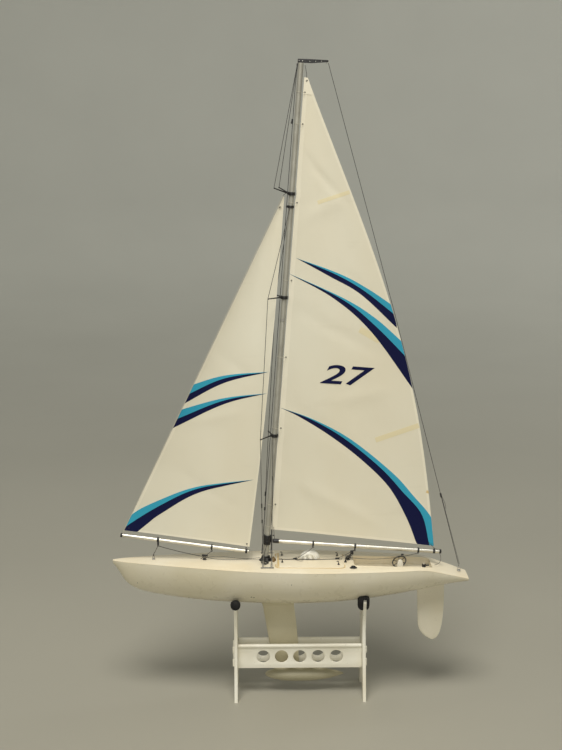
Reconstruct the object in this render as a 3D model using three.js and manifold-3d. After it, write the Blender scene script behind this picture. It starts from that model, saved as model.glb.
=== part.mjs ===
// Model racing sloop on its display stand, in millimetres, +X towards the stern, +Y to starboard,
// +Z up. The origin is on the floor under the middle of the hull.
import * as THREE from "three";
import { mergeVertices } from "three/addons/utils/BufferGeometryUtils.js";
import Module from "manifold-3d";

const wasm = await Module();
wasm.setup();

// ---- Driving dimensions -------------------------------------------------------------------
const GAP = 0.3;                    // left between pieces that touch
const HULL_END = 388;               // midships to the stem head and to the transom
const HULL_ROWS = 22;
const HULL_WALL = 2;
const DECK_THICK = 1.6;
const DECK_CAMBER = 0.03;           // crown height as a share of the half beam

// Table of offsets: distance from midships, half beam, rim height, keel height, bilge fullness.
const STATIONS = [
  { x: -388, beam: 3, rim: 303.5, keel: 298, full: 1.5 },
  { x: -377, beam: 9, rim: 303.3, keel: 283, full: 1.4 },
  { x: -360, beam: 16, rim: 303.1, keel: 256, full: 1.5 },
  { x: -338, beam: 22.5, rim: 302.8, keel: 241, full: 1.6 },
  { x: -300, beam: 33, rim: 302.2, keel: 229.5, full: 1.75 },
  { x: -200, beam: 56, rim: 300.4, keel: 215.5, full: 2 },
  { x: -90, beam: 76, rim: 298, keel: 210, full: 2.15 },
  { x: 30, beam: 86, rim: 296.5, keel: 209.5, full: 2.25 },
  { x: 130, beam: 81, rim: 295, keel: 215, full: 2.25 },
  { x: 235, beam: 66.5, rim: 293.2, keel: 228.5, full: 2.2 },
  { x: 293, beam: 55.5, rim: 291.3, keel: 239, full: 2.15 },
  { x: 335, beam: 46, rim: 281, keel: 247, full: 2.1 },
  { x: 388, beam: 31, rim: 265, keel: 256.5, full: 2.2 },
];

const HATCH = { fore: -30, aft: 116, half: 53, lip: 5, thick: 1.4 };
const WELL = { fore: 138, aft: 308, half: 37, sole: 281.5, wall: 1.6 };

const KEEL = { thick: 7, top: 208.6, tip: 48.6, slot: 8, rootFore: -62.5, rake: 0.168 };
const BULB = { nose: -56, length: 174, r: 15.8, z: 40 };
const RUDDER = { axisX: 293, thick: 5, tip: 117.5, stockR: 2, tubeR: 4, tillerZ: 284.5, arm: 20 };
const STEERING_SERVO = { x: 90, y: 0, top: 280 };
const WINCH_SERVO = { x: 22, y: 0, top: 278 };
const TRAY = { fore: -20, aft: 113, half: 72, z: 262, thick: 2 };
const HELM = { x: 239, y: 1.5, z: 296, r: 16.5, axis: [-0.34, -0.45, 0.825] };
const STERN_EYE_X = 370;

const RAKE = THREE.MathUtils.degToRad(4.17);
const MAST = { footX: -53.9, footZ: 303.5, r: 5.5, bore: 4.3, joint: 528, length: 1066 };
const SPREADER_TURN = THREE.MathUtils.degToRad(-10.3);
const SPREADERS = {
  lower: { height: 278, sweep: 22, half: 48, rise: -2 },
  upper: { height: 578, sweep: 27, half: 46, rise: -1 },
  jumper: { height: 797, sweep: 33, half: 30, rise: 10 },
};
const BOOM = { height: 43.2, start: 27.5, end: 378, r: 4.3 };
const MAINSAIL = { luff: 7.7, tack: 68.7, clewX: 361.7, clewZ: 54.9, head: 1037, headX: 16.5 };
const JIB_BOOM = { fore: [-366, 360.5], aft: [-91, 322], r: 4 };
const JIB = { tack: [-361.8, 371.4], clew: [-89.3, 332.3], head: [-13.3, 1092] };
const JIB_PIVOT = [-299, 309];
const SAIL_THICK = 1;
const CHAINPLATE = { upperX: -60, lowerX: -41.7, half: 55 };
const WIRE_R = 0.6;

const STAND = {
  foreX: -120, aftX: 160, thick: 7.4, foot: 68, waist: 38, waistZ: 148, tipY: 54,
  foreTipZ: 214, aftTipZ: 222, tipR: 7, cradle: 190, railTop: 117, railBottom: 62, railY: 20,
  tenon: 4, padWidth: 22,
};
const RAIL_HOLES = { count: 5, pitch: 40.2, r: 14.5, z: 88 };
const TENONS = [[66, 82], [96, 110]];  // heights of each rail's tenons

// ---- Materials ----------------------------------------------------------------------------
const finish = (color, roughness, metalness = 0) =>
  new THREE.MeshStandardMaterial({ color, roughness, metalness });
const shellPlastic = finish(0xe6dcc0, 0.35);
const whitePlastic = finish(0xf2eee0, 0.4);
const blackPlastic = finish(0x17171a, 0.45);
const alloy = finish(0xd9d6cf, 0.25, 0.9);
const greyAlloy = finish(0x8f8f8c, 0.4, 0.7);
const steel = finish(0x8d8f93, 0.3, 1);
const line = finish(0x3b3b3b, 0.8);
const foam = finish(0x1d1d1c, 0.9);
const sailcloth = finish(0xe4dcc4, 0.85);

const model = new THREE.Group();

function addPart(name, geometry, material, parent = model) {
  const mesh = new THREE.Mesh(geometry, material);
  mesh.name = name;
  parent.add(mesh);
  return mesh;
}

// ---- Solids -------------------------------------------------------------------------------
function solid(geometry) {
  const bare = geometry.clone();
  bare.deleteAttribute("normal");
  bare.deleteAttribute("uv");
  const merged = mergeVertices(bare, 1e-4);
  return new wasm.Manifold(new wasm.Mesh({
    numProp: 3,
    vertProperties: Float32Array.from(merged.attributes.position.array),
    triVerts: Uint32Array.from(merged.index.array),
  }));
}

function geometryOf(manifold) {
  const mesh = manifold.getMesh();
  const geometry = new THREE.BufferGeometry();
  geometry.setAttribute("position", new THREE.BufferAttribute(mesh.vertProperties, 3));
  geometry.setIndex(new THREE.BufferAttribute(mesh.triVerts, 1));
  geometry.computeVertexNormals();
  return geometry;
}

const joined = (...pieces) =>
  geometryOf(pieces.map(solid).reduce((all, next) => all.add(next)));

const cut = (piece, ...tools) =>
  geometryOf(tools.map(solid).reduce((all, tool) => all.subtract(tool), solid(piece)));

// The triangles that close a ring of points, facing back along the row of rings.
function fanCap(count) {
  const faces = [];
  for (let j = 1; j + 1 < count; j += 1) {
    faces.push([0, j + 1, j]);
  }
  return faces;
}

// As fanCap, for a ring that is a front row followed by a back row.
function stripCap(count) {
  const faces = [];
  for (let j = 0; j + 1 < count / 2; j += 1) {
    const k = count - 1 - j;
    faces.push([j, k, k - 1], [j, k - 1, j + 1]);
  }
  return faces;
}

// A closed skin over a row of rings that have the same number of points.
function loft(rings, cap = fanCap) {
  const count = rings[0].length;
  const last = (rings.length - 1) * count;
  const faces = [];
  for (let a = 0; a < last; a += 1) {
    const b = a % count === count - 1 ? a + 1 - count : a + 1;
    faces.push([a, b, b + count], [a, b + count, a + count]);
  }
  for (const [a, b, c] of cap(count)) {
    faces.push([a, b, c], [last + c, last + b, last + a]);
  }
  const points = rings.flat();
  const cross = new THREE.Vector3();
  let volume = 0;
  for (const [a, b, c] of faces) {
    volume += points[a].dot(cross.crossVectors(points[b], points[c]));
  }
  const outward = volume > 0 ? faces : faces.map(([a, b, c]) => [c, b, a]);
  const geometry = new THREE.BufferGeometry().setFromPoints(points);
  geometry.setIndex(outward.flat());
  geometry.computeVertexNormals();
  return geometry;
}

// A closed slab between two surfaces, each a function of (u, v) from 0 to 1.
function slab(upper, lower, rows, columns) {
  const rings = [];
  for (let i = 0; i <= rows; i += 1) {
    const front = [];
    const back = [];
    for (let j = 0; j <= columns; j += 1) {
      front.push(upper(i / rows, j / columns));
      back.unshift(lower(i / rows, j / columns));
    }
    rings.push([...front, ...back]);
  }
  return loft(rings, stripCap);
}

function box(x0, x1, y0, y1, z0, z1) {
  const geometry = new THREE.BoxGeometry(x1 - x0, y1 - y0, z1 - z0);
  return geometry.translate((x0 + x1) / 2, (y0 + y1) / 2, (z0 + z1) / 2);
}

// An upright cylinder from z0 to z1.
function post(r, z0, z1, x = 0, y = 0, sides = 16) {
  const geometry = new THREE.CylinderGeometry(r, r, z1 - z0, sides);
  return geometry.rotateX(Math.PI / 2).translate(x, y, (z0 + z1) / 2);
}

// A turned piece about +Z from [radius, height] pairs, listed upwards on the outside.
function turned(profile, sides = 16) {
  const points = profile.map(([r, z]) => new THREE.Vector2(r, z));
  return new THREE.LatheGeometry(points, sides).rotateX(Math.PI / 2);
}

const sleeve = (bore, outer, z0, z1, sides = 16) =>
  turned([[bore, z0], [outer, z0], [outer, z1], [bore, z1], [bore, z0]], sides);

// Straight runs between corner points, with one step for each run.
class CornerPath extends THREE.Curve {
  constructor(points) {
    super();
    this.points = points;
  }

  getUtoTmapping(u) {
    return u;
  }

  getPoint(t, target = new THREE.Vector3()) {
    const runs = this.points.length - 1;
    const run = Math.min(Math.floor(t * runs), runs - 1);
    return target.lerpVectors(this.points[run], this.points[run + 1], t * runs - run);
  }
}

function roundShape(r, sides) {
  const points = [];
  for (let i = 0; i < sides; i += 1) {
    const angle = (i / sides) * 2 * Math.PI;
    points.push(new THREE.Vector2(r * Math.cos(angle), r * Math.sin(angle)));
  }
  return new THREE.Shape(points);
}

// A round rod or wire along corner points.
function rod(points, r, sides = 8) {
  const extrudePath = new CornerPath(points.map((p) => new THREE.Vector3(...p)));
  return new THREE.ExtrudeGeometry(roundShape(r, sides), {
    steps: points.length - 1, extrudePath,
  });
}

// A flat piece drawn as (x, z), with its thickness along Y about y = 0.
function plateXZ(shape, thick, curveSegments = 8) {
  const settings = { depth: thick, bevelEnabled: false, curveSegments };
  return new THREE.ExtrudeGeometry(shape, settings)
    .translate(0, 0, -thick / 2).rotateX(Math.PI / 2);
}

// A flat piece drawn as (y, z), with its thickness along X about x = 0.
const plateYZ = (shape, thick, curveSegments = 8) =>
  plateXZ(shape, thick, curveSegments).rotateZ(Math.PI / 2);

// ---- Hull form ----------------------------------------------------------------------------
// The table of offsets, read between its stations on a smooth curve.
function stationAt(x) {
  const found = STATIONS.findIndex((s) => s.x > x);
  const i = found < 0 ? STATIONS.length - 2 : Math.max(found - 1, 0);
  const [a, b] = [STATIONS[i], STATIONS[i + 1]];
  const before = STATIONS[Math.max(i - 1, 0)];
  const after = STATIONS[Math.min(i + 2, STATIONS.length - 1)];
  const run = b.x - a.x;
  const u = (x - a.x) / run;
  const value = (key) => {
    const slopeA = ((b[key] - before[key]) / (b.x - before.x)) * run;
    const slopeB = ((after[key] - a[key]) / (after.x - a.x)) * run;
    const rise = b[key] - a[key];
    return a[key] + u * (slopeA + u * (3 * rise - 2 * slopeA - slopeB
      + u * (slopeA + slopeB - 2 * rise)));
  };
  return { x, beam: value("beam"), rim: value("rim"), keel: value("keel"), full: value("full") };
}

// One half-oval section from the port rim, round the keel, to the starboard rim.
function hullSection(x, inset, segments = 16) {
  const { beam, rim, keel, full } = stationAt(x);
  const bow = Math.max(0, (-x - 300) / 88);
  const half = beam - inset;
  const floor = keel + inset * (1 + bow);
  const ring = [];
  for (let i = 0; i <= segments; i += 1) {
    const angle = (i / segments - 0.5) * Math.PI;
    const side = Math.sign(angle) * Math.abs(Math.sin(angle)) ** (2 / full);
    const drop = Math.max(0, Math.cos(angle)) ** (2 / full);
    ring.push(new THREE.Vector3(x, half * side, rim - (rim - floor) * drop));
  }
  return ring;
}

// The hull's form from one station to another, raised above its rim by the given height.
function hullForm(fore, aft, inset, raise = 0, stations = HULL_ROWS) {
  const rings = [];
  for (let i = 0; i <= stations; i += 1) {
    const x = (fore + aft) / 2 - ((aft - fore) / 2) * Math.cos((i / stations) * Math.PI);
    const ring = hullSection(x, inset);
    const port = ring[0].clone().setZ(ring[0].z + raise);
    const starboard = ring[ring.length - 1].clone().setZ(ring[0].z + raise);
    rings.push(raise ? [port, ...ring, starboard] : ring);
  }
  return loft(rings);
}

function deckTop(x, y) {
  const { beam, rim } = stationAt(x);
  return rim + GAP + DECK_THICK + DECK_CAMBER * beam * (1 - (y / beam) ** 2);
}

// The height at which a flat foot of radius r clears the deck all round.
function seat(x, y, r) {
  const corners = [[-r, -r], [-r, r], [r, -r], [r, r], [0, 0]];
  return Math.max(...corners.map(([dx, dy]) => deckTop(x + dx, y + dy))) + GAP;
}

// A slab that follows the deck over a rectangle; top and bottom are heights above the deck.
function deckSlab(fore, aft, half, top, bottom, rows = 6, columns = 8) {
  const surface = (lift) => (u, v) => {
    const x = fore + (aft - fore) * u;
    const y = half * (2 * v - 1);
    return new THREE.Vector3(x, y, deckTop(x, y) + lift);
  };
  return slab(surface(top), surface(bottom), rows, columns);
}

// ---- Hull and deck ------------------------------------------------------------------------
function hullShell() {
  const outer = hullForm(-HULL_END, HULL_END, 0);
  const inner = hullForm(-373, 384, HULL_WALL, 6);
  const boltHole = post(2.6, 200, 220, -20);
  const rudderHole = post(RUDDER.tubeR + GAP, 230, 260, RUDDER.axisX);
  return cut(outer, inner, boltHole, rudderHole);
}

function deckShell() {
  const rings = (lift) => (u, v) => {
    const x = -HULL_END * Math.cos(u * Math.PI);
    const y = (2 * v - 1) * stationAt(x).beam;
    return new THREE.Vector3(x, y, deckTop(x, y) + lift);
  };
  const plate = slab(rings(0), rings(-DECK_THICK), HULL_ROWS, 8);
  const { fore, aft, half, sole, wall } = WELL;
  const tubTop = (u, v) => {
    const x = fore - wall + (aft - fore + 2 * wall) * u;
    const y = (half + wall) * (2 * v - 1);
    return new THREE.Vector3(x, y, deckTop(x, y) - DECK_THICK / 2);
  };
  const tubBottom = (u, v) => tubTop(u, v).setZ(sole - wall);
  const tub = slab(tubTop, tubBottom, 8, 4);
  const opening = box(HATCH.fore + HATCH.lip, HATCH.aft - HATCH.lip,
    HATCH.lip - HATCH.half, HATCH.half - HATCH.lip, 285, 310);
  const wellSpace = box(fore, aft, -half, half, sole, 310);
  const rudderHole = post(RUDDER.tubeR + GAP, sole - 5, sole + 5, RUDDER.axisX);
  const rodHole = box(fore - 5, fore + 5, -RUDDER.arm - 2.5, -RUDDER.arm + 5.5, 285, 290);
  return cut(joined(plate, tub), opening, wellSpace, rudderHole, rodHole);
}

function hatchCover() {
  const { fore, aft, half, thick } = HATCH;
  return deckSlab(fore, aft, half, GAP + thick, GAP);
}

// ---- Keel and rudder ----------------------------------------------------------------------
// A symmetrical foil section between a leading and a trailing edge, sharp at the tail.
function foilRing(lead, trail, thick, z, points = 8) {
  const upper = [];
  const lower = [];
  for (let i = 0; i <= points; i += 1) {
    const u = (1 - Math.cos((i / points) * Math.PI)) / 2;
    const y = (thick / 2) * 2.6 * (Math.sqrt(u) * (1 - u) + 0.12 * u * (1 - u)) + 0.4 * u;
    const x = lead + (trail - lead) * u;
    upper.push(new THREE.Vector3(x, y, z));
    if (i > 0) {
      lower.unshift(new THREE.Vector3(x, -y, z));
    }
  }
  return [...upper, ...lower];
}

function keelFin() {
  const rings = [];
  const levels = 6;
  for (let i = 0; i <= levels; i += 1) {
    const z = KEEL.tip + (KEEL.top - KEEL.tip) * (i / levels);
    const lead = KEEL.rootFore + KEEL.rake * (KEEL.top - z);
    const trail = 18.5 - 12.5 * ((z - KEEL.tip) / (KEEL.top - KEEL.tip)) ** 2;
    rings.push(foilRing(lead, trail, KEEL.thick, z));
  }
  return cut(loft(rings), post(2.6, 190, 215, -20));
}

function keelBulb() {
  const profile = [];
  const steps = 12;
  for (let i = 0; i <= steps; i += 1) {
    const u = (1 - Math.cos((i / steps) * Math.PI)) / 2;
    const r = BULB.r * Math.min(1, 2.25 * Math.sqrt(u) * (1 - u) ** 0.8 * (1 + 0.28 * u));
    profile.push([i === 0 || i === steps ? 0 : r, BULB.length * u]);
  }
  const bulb = turned(profile, 18).rotateY(Math.PI / 2).translate(BULB.nose, 0, BULB.z);
  return cut(bulb, box(-44, 22, -KEEL.slot / 2, KEEL.slot / 2, KEEL.tip - GAP, 60));
}

function keelBolt() {
  return joined(post(2, 196, 224, -20, 0, 12), post(4, 213, 217, -20, 0, 6));
}

function rudderBlade() {
  const shape = new THREE.Shape();
  shape.moveTo(279, 233.5);
  shape.lineTo(281.2, 158);
  shape.quadraticCurveTo(283, RUDDER.tip + 10.5, 313, RUDDER.tip);
  shape.quadraticCurveTo(327, RUDDER.tip, 333, 146);
  shape.quadraticCurveTo(339.5, 176, 338, 244);
  const blade = new THREE.ExtrudeGeometry(shape, {
    depth: 1, bevelThickness: 2, bevelSize: 2, bevelOffset: -2, bevelSegments: 1,
    curveSegments: 6,
  }).translate(0, 0, -0.5).rotateX(Math.PI / 2);
  return joined(blade, post(RUDDER.stockR, 225, RUDDER.tillerZ + 8, RUDDER.axisX, 0, 12));
}

function tillerArm() {
  const { axisX: x, tillerZ: z, arm } = RUDDER;
  const body = joined(post(4.5, z, z + 6, x, 0), box(x - 2, x + 2, -arm - 2.5, 0, z, z + 2),
    post(0.8, z + 1, z + 6, x, -arm, 8));
  return cut(body, post(RUDDER.stockR + GAP, z - 1, z + 7, x, 0, 12));
}

// A link bar with an eye at each end that drops over the pins of the two arms.
function rudderPushrod() {
  const { axisX: x, tillerZ, arm } = RUDDER;
  const z = tillerZ + 2.4;
  const eye = (at) => post(2.4, z, z + 1.6, at, -arm, 12);
  const bar = rod([[x, -arm, z + 0.8], [STEERING_SERVO.x, -arm, z + 0.8]], 0.8);
  const pinHole = (at) => post(1.2, z - 1, z + 3, at, -arm, 12);
  return cut(joined(bar, eye(x), eye(STEERING_SERVO.x)), pinHole(x), pinHole(STEERING_SERVO.x));
}

const rudderTube = () =>
  sleeve(RUDDER.stockR + GAP, RUDDER.tubeR, 240.5, WELL.sole + 2).translate(RUDDER.axisX, 0, 0);

// ---- Radio gear under the hatch -----------------------------------------------------------

// The case is 40 by 20 mm with two lugs that rest on the tray; its shaft stands 10 mm off centre.
function servo({ x, y, top }) {
  const mid = x - 10;
  return joined(
    box(mid - 20, mid + 20, y - 10, y + 10, top - 38, top - 3),
    box(mid - 27, mid + 27, y - 9, y + 9, TRAY.z + TRAY.thick + GAP, TRAY.z + TRAY.thick + 3),
    post(6, top - 4, top, x, y), post(2.4, top - 1, top + 3, x, y, 12));
}

const servoHole = ({ x, y }) => box(x - 31, x + 11, y - 11, y + 11, 255, 270);

const servoTray = () => cut(
  box(TRAY.fore, TRAY.aft, -TRAY.half, TRAY.half, TRAY.z, TRAY.z + TRAY.thick),
  servoHole(STEERING_SERVO), servoHole(WINCH_SERVO));

function servoArm() {
  const { x, top } = STEERING_SERVO;
  const z = RUDDER.tillerZ;
  const body = joined(post(4.5, top + GAP, z + 2, x, 0), box(x - 2, x + 2, -22.5, 0, z, z + 2),
    post(0.8, z + 1, z + 6, x, -RUDDER.arm, 8));
  return cut(body, post(2.7, top, top + 3.3, x, 0, 12));
}

function winchArm() {
  const { x, top } = WINCH_SERVO;
  const body = joined(post(6, top + GAP, top + 6, x, 0), box(x - 42, x, -3, 3, top + 3.5, top + 6),
    post(4, top + 3.5, top + 6, x - 42, 0));
  return cut(body, post(2.7, top, top + 3.3, x, 0, 12));
}

// ---- Deck fittings ------------------------------------------------------------------------
// A round foot with an upright ring, for a line to run through or hook on.
function ringEye(x, y, r = 3, wire = 0.8) {
  const z = seat(x, y, r + 1.2);
  const ring = new THREE.TorusGeometry(r, wire, 5, 12).rotateX(Math.PI / 2);
  return joined(post(r + 1.2, z, z + 1.6, x, y, 12), ring.translate(x, y, z + 1.2 + r + wire));
}

// A flat strap along the deck edge with two upright lugs for the shrouds.
function chainplate(side) {
  const y = side * CHAINPLATE.half;
  const { upperX, lowerX } = CHAINPLATE;
  const z = Math.max(seat(upperX - 2, y, 3), seat(lowerX + 2, y, 3));
  const lug = (x) => box(x - 2, x + 2, y - 0.8, y + 0.8, z, z + 6);
  return joined(box(upperX - 5, lowerX + 5, y - 3, y + 3, z, z + 1.4), lug(upperX), lug(lowerX));
}

function switchBoot() {
  const [x, y] = [135, -51];
  const z = seat(x, y, 6);
  return turned([[0, 0], [8, 0], [8, 1.5], [4.5, 4.5], [0, 4.5]]).scale(1, 0.7, 1)
    .translate(x, y, z);
}

function companionCowl() {
  const dome = (r) => new THREE.SphereGeometry(r, 14, 8).rotateX(Math.PI / 2);
  const [x, y] = [43, 9];
  const z = seat(x, 0, 20) + HATCH.thick + GAP;
  const shell = cut(dome(1).scale(22, 13, 19), dome(1).scale(20.8, 11.8, 17.8),
    box(-30, 30, -20, 20, -30, 0), box(-18, 18, -20, -4, -1, 11));
  return shell.translate(x, y, z);
}

function pedestal() {
  const { x } = HELM;
  return turned([[0, 0], [7.5, 0], [5.5, 3], [4.4, 8.5], [0, 8.5]], 4).rotateZ(Math.PI / 4)
    .translate(x + 3, 6, WELL.sole + GAP);
}

function steeringWheel() {
  const rim = new THREE.TorusGeometry(HELM.r - 1.3, 1.3, 5, 18);
  const parts = [rim, post(2.8, -1.2, 1.2, 0, 0, 12)];
  const spokes = 6;
  for (let i = 0; i < spokes; i += 1) {
    const spoke = new THREE.BoxGeometry(HELM.r - 2, 1.4, 1.4);
    parts.push(spoke.translate(HELM.r / 2, 0, 0).rotateZ((i / spokes) * 2 * Math.PI));
  }
  const upright = new THREE.Vector3(0, 0, 1);
  const axis = new THREE.Vector3(...HELM.axis).normalize();
  const turn = new THREE.Quaternion().setFromUnitVectors(upright, axis);
  return joined(...parts).applyQuaternion(turn).translate(HELM.x, HELM.y, HELM.z);
}

// ---- Mast, in its own frame: +Z up the mast, +X straight aft of it -------------------------
const rig = new THREE.Group();
rig.position.set(MAST.footX, 0, MAST.footZ);
rig.rotation.y = RAKE;

// A point given in the mast's frame, in the boat's frame.
function onRig(x, y, height) {
  return [
    MAST.footX + x * Math.cos(RAKE) + height * Math.sin(RAKE), y,
    MAST.footZ - x * Math.sin(RAKE) + height * Math.cos(RAKE),
  ];
}

function mastStep() {
  const z = seat(MAST.footX, 0, 10);
  return turned([
    [0, 0], [14.5, 0], [14.5, 1.6], [11, 2.2], [11, 10], [MAST.r + 1.1, 10],
    [MAST.r + 1.1, 1.2], [0, 1.2],
  ], 20).translate(MAST.footX, 0, z);
}

const mastJoiner = () => turned([
  [0, MAST.joint - 40], [MAST.bore - GAP, MAST.joint - 40], [MAST.bore - GAP, MAST.joint + GAP],
  [MAST.r + 1, MAST.joint + GAP], [MAST.r + 1, MAST.joint + 4], [MAST.bore - GAP, MAST.joint + 4],
  [MAST.bore - GAP, MAST.joint + 44], [0, MAST.joint + 44],
]);

function mastheadCrane() {
  const shape = new THREE.Shape();
  shape.moveTo(-7, 0);
  shape.lineTo(8, 0);
  shape.lineTo(22, 0.4);
  shape.lineTo(55, 4.8);
  shape.quadraticCurveTo(58, 6.5, 56, 8.9);
  shape.lineTo(22, 8.6);
  shape.quadraticCurveTo(4, 9, -7, 7.5);
  const holes = [18, 30, 42].map((x) => {
    const hole = new THREE.Path();
    return hole.absarc(x, 4 + (x - 18) * 0.08, 1.1, 0, 2 * Math.PI, true);
  });
  shape.holes.push(...holes);
  return plateXZ(shape, 4, 4).translate(0, 0, MAST.length + GAP);
}

// A collar round the mast with two arms swept forward to the points where the wires bear.
function spreader({ height, sweep, half, rise }) {
  const collar = sleeve(MAST.r + GAP, MAST.r + 2.2, height - 3.5, height + 3.5);
  const arm = (side) => rod(
    [[-MAST.r - 0.6, side * 3.6, height], [-sweep, side * half, height + rise]], 1.3);
  return joined(collar, arm(-1), arm(1)).rotateZ(SPREADER_TURN);
}

// The end of a spreader's arm in the boat's frame, pushed outwards to where the wire passes.
function spreaderTip({ height, sweep, half, rise }, side) {
  const tip = new THREE.Vector3(-sweep, side * (half + 2.2), height + rise);
  tip.applyAxisAngle(new THREE.Vector3(0, 0, 1), SPREADER_TURN);
  return onRig(tip.x, tip.y, tip.z);
}

function upperShroud(side) {
  const foot = [CHAINPLATE.upperX, side * CHAINPLATE.half, deckTop(CHAINPLATE.upperX, 0) + 6.5];
  return rod([
    foot, spreaderTip(SPREADERS.lower, side), spreaderTip(SPREADERS.upper, side),
    onRig(-2, side * (MAST.r + 3), 768),
  ], WIRE_R);
}

function lowerShroud(side) {
  const foot = [CHAINPLATE.lowerX, side * CHAINPLATE.half, deckTop(CHAINPLATE.lowerX, 0) + 6.5];
  return rod([foot, onRig(-3, side * (MAST.r + 4), SPREADERS.lower.height - 6)], WIRE_R);
}

// Both stays leave one lug ahead of the masthead.
function jumperStays() {
  const head = onRig(-MAST.r - 2, 0, MAST.length - 5);
  const stay = (side) => rod([head, spreaderTip(SPREADERS.jumper, side)], WIRE_R);
  const lug = post(1.2, -3, 3).translate(...head);
  return joined(stay(-1), stay(1), lug);
}

// The loose end of the outhaul line, hanging from the boom's end.
function outhaulTail() {
  const [x, y, z] = onRig(BOOM.end + 2, 0, BOOM.height - BOOM.r - 1);
  return rod([[x, y, z], [x + 1.5, y - 1, z - 5], [x + 2, y - 3, z - 10], [x + 0.5, y - 6, z - 15],
    [x - 3, y - 9, z - 19], [x - 8, y - 12, z - 20.5], [x - 13, y - 14, z - 21]], 0.5);
}

function backstay() {
  const foot = [STERN_EYE_X - 1, 0, deckTop(STERN_EYE_X, 0) + 16];
  const top = onRig(56.5, 0, MAST.length + 3.4);
  const middle = [(foot[0] + top[0]) / 2 + 3, 0, (foot[2] + top[2]) / 2];
  return rod([foot, middle, top], WIRE_R);
}

// ---- Booms and sails ----------------------------------------------------------------------
const alongX = (geometry, z) => geometry.rotateY(Math.PI / 2).translate(0, 0, z);

// A clamp on the mast that the boom's collar rests and turns on.
const stopCollar = () => sleeve(MAST.r + GAP, MAST.r + 2.4, BOOM.height - 9, BOOM.height - 5);

// The collar that turns on the mast, with the socket that holds the boom.
function boomSocket() {
  const collar = sleeve(MAST.r + GAP, MAST.r + 3, BOOM.height - 4.5, BOOM.height + 12);
  const neck = box(7.2, 18, -3, 3, BOOM.height - 4, BOOM.height + 4);
  const barrel = turned([[0, 14], [BOOM.r + 1, 14], [BOOM.r + 1, 33], [BOOM.r + GAP, 33],
    [BOOM.r + GAP, BOOM.start - GAP], [0, BOOM.start - GAP]]);
  return joined(collar, neck, alongX(barrel, BOOM.height));
}

const mainBoomTube = () => alongX(sleeve(3.3, BOOM.r, BOOM.start, BOOM.end, 12), BOOM.height);

const boomEnd = () => alongX(turned([
  [0, BOOM.end + GAP], [BOOM.r + 0.6, BOOM.end + GAP], [BOOM.r + 0.6, BOOM.end + 4],
  [0, BOOM.end + 5],
], 12), BOOM.height);

// A sail between a luff and a leech, each a function of the height share v, with a soft belly.
function sail(luff, leech, belly, rows = 14, columns = 6) {
  const face = (shift) => (v, u) => {
    const [a, b] = [luff(v), leech(v)];
    const depth = belly * Math.sin(Math.PI * u ** 0.8) * Math.sin(Math.PI * (0.12 + 0.88 * v));
    return new THREE.Vector3(a[0] + (b[0] - a[0]) * u, depth + shift, a[1] + (b[1] - a[1]) * u);
  };
  return slab(face(SAIL_THICK / 2), face(-SAIL_THICK / 2), rows, columns);
}

function mainsail() {
  const { luff, tack, clewX, clewZ, head, headX } = MAINSAIL;
  const roach = (v) => 49 * Math.sin(Math.PI * (1 - v) ** 1.15);
  return sail(
    (v) => [luff + 2.5 * v, tack + (head - tack) * v],
    (v) => [clewX + (headX - clewX) * v + roach(v), clewZ + (head - clewZ) * v],
    9);
}

function jibSail() {
  const mix = (a, b, v) => [a[0] + (b[0] - a[0]) * v, a[1] + (b[1] - a[1]) * v];
  const top = [JIB.head[0] + 2, JIB.head[1]];
  return sail((v) => mix(JIB.tack, JIB.head, v), (v) => mix(JIB.clew, top, v), 7);
}

// Pieces on the jib boom lie along it, from its fore end.
const jibRun = [JIB_BOOM.aft[0] - JIB_BOOM.fore[0], JIB_BOOM.aft[1] - JIB_BOOM.fore[1]];
const jibLength = Math.hypot(...jibRun);
const onJibBoom = (geometry) => geometry.rotateY(Math.PI / 2 - Math.atan2(jibRun[1], jibRun[0]))
  .translate(JIB_BOOM.fore[0], 0, JIB_BOOM.fore[1]);

const jibBoomTube = () => onJibBoom(sleeve(3.1, JIB_BOOM.r, 0, jibLength, 12));

const jibBoomNose = () => onJibBoom(turned([
  [0, -4.3], [JIB_BOOM.r, -4.3], [JIB_BOOM.r + 0.8, -3], [JIB_BOOM.r + 0.8, -GAP], [0, -GAP],
], 12));

// The band carries the link on whose lower end the whole jib swings.
function jibPivot() {
  const band = onJibBoom(sleeve(JIB_BOOM.r + GAP, JIB_BOOM.r + 1.3, 74, 82, 12));
  const [x, z] = JIB_PIVOT;
  return joined(band, rod([[x, 0, z + 7], [x + 10, 0, z + 36.5]], 1.2),
    post(2.2, z + 5, z + 8.5, x, 0, 8));
}

function jibSheetBand() {
  const band = onJibBoom(sleeve(JIB_BOOM.r + GAP, JIB_BOOM.r + 1.3, 194, 198, 12));
  return joined(band, onJibBoom(box(4.6, 9, -1.2, 1.2, 194, 198)));
}

// ---- Stand --------------------------------------------------------------------------------
// Half of the end plate's outline, from the middle of the arch to the middle of the cradle.
function plateOutline(tipZ) {
  const { foot, waist, waistZ, tipY, tipR, cradle } = STAND;
  return [
    [0, 52], [30, 40], [46, 0], [foot, 0], [waist, waistZ], [tipY + tipR, tipZ],
    [tipY + tipR * 0.7, tipZ + tipR * 0.8], [tipY, tipZ + tipR],
    [tipY - tipR * 0.7, tipZ + tipR * 0.6],
    [tipY - tipR, tipZ - 2], [26, cradle + 4], [0, cradle],
  ];
}

function plateShape(tipZ) {
  const half = plateOutline(tipZ);
  const other = half.slice(1, -1).reverse().map(([y, z]) => [-y, z]);
  return new THREE.Shape([...half, ...other].map(([y, z]) => new THREE.Vector2(y, z)));
}

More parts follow.
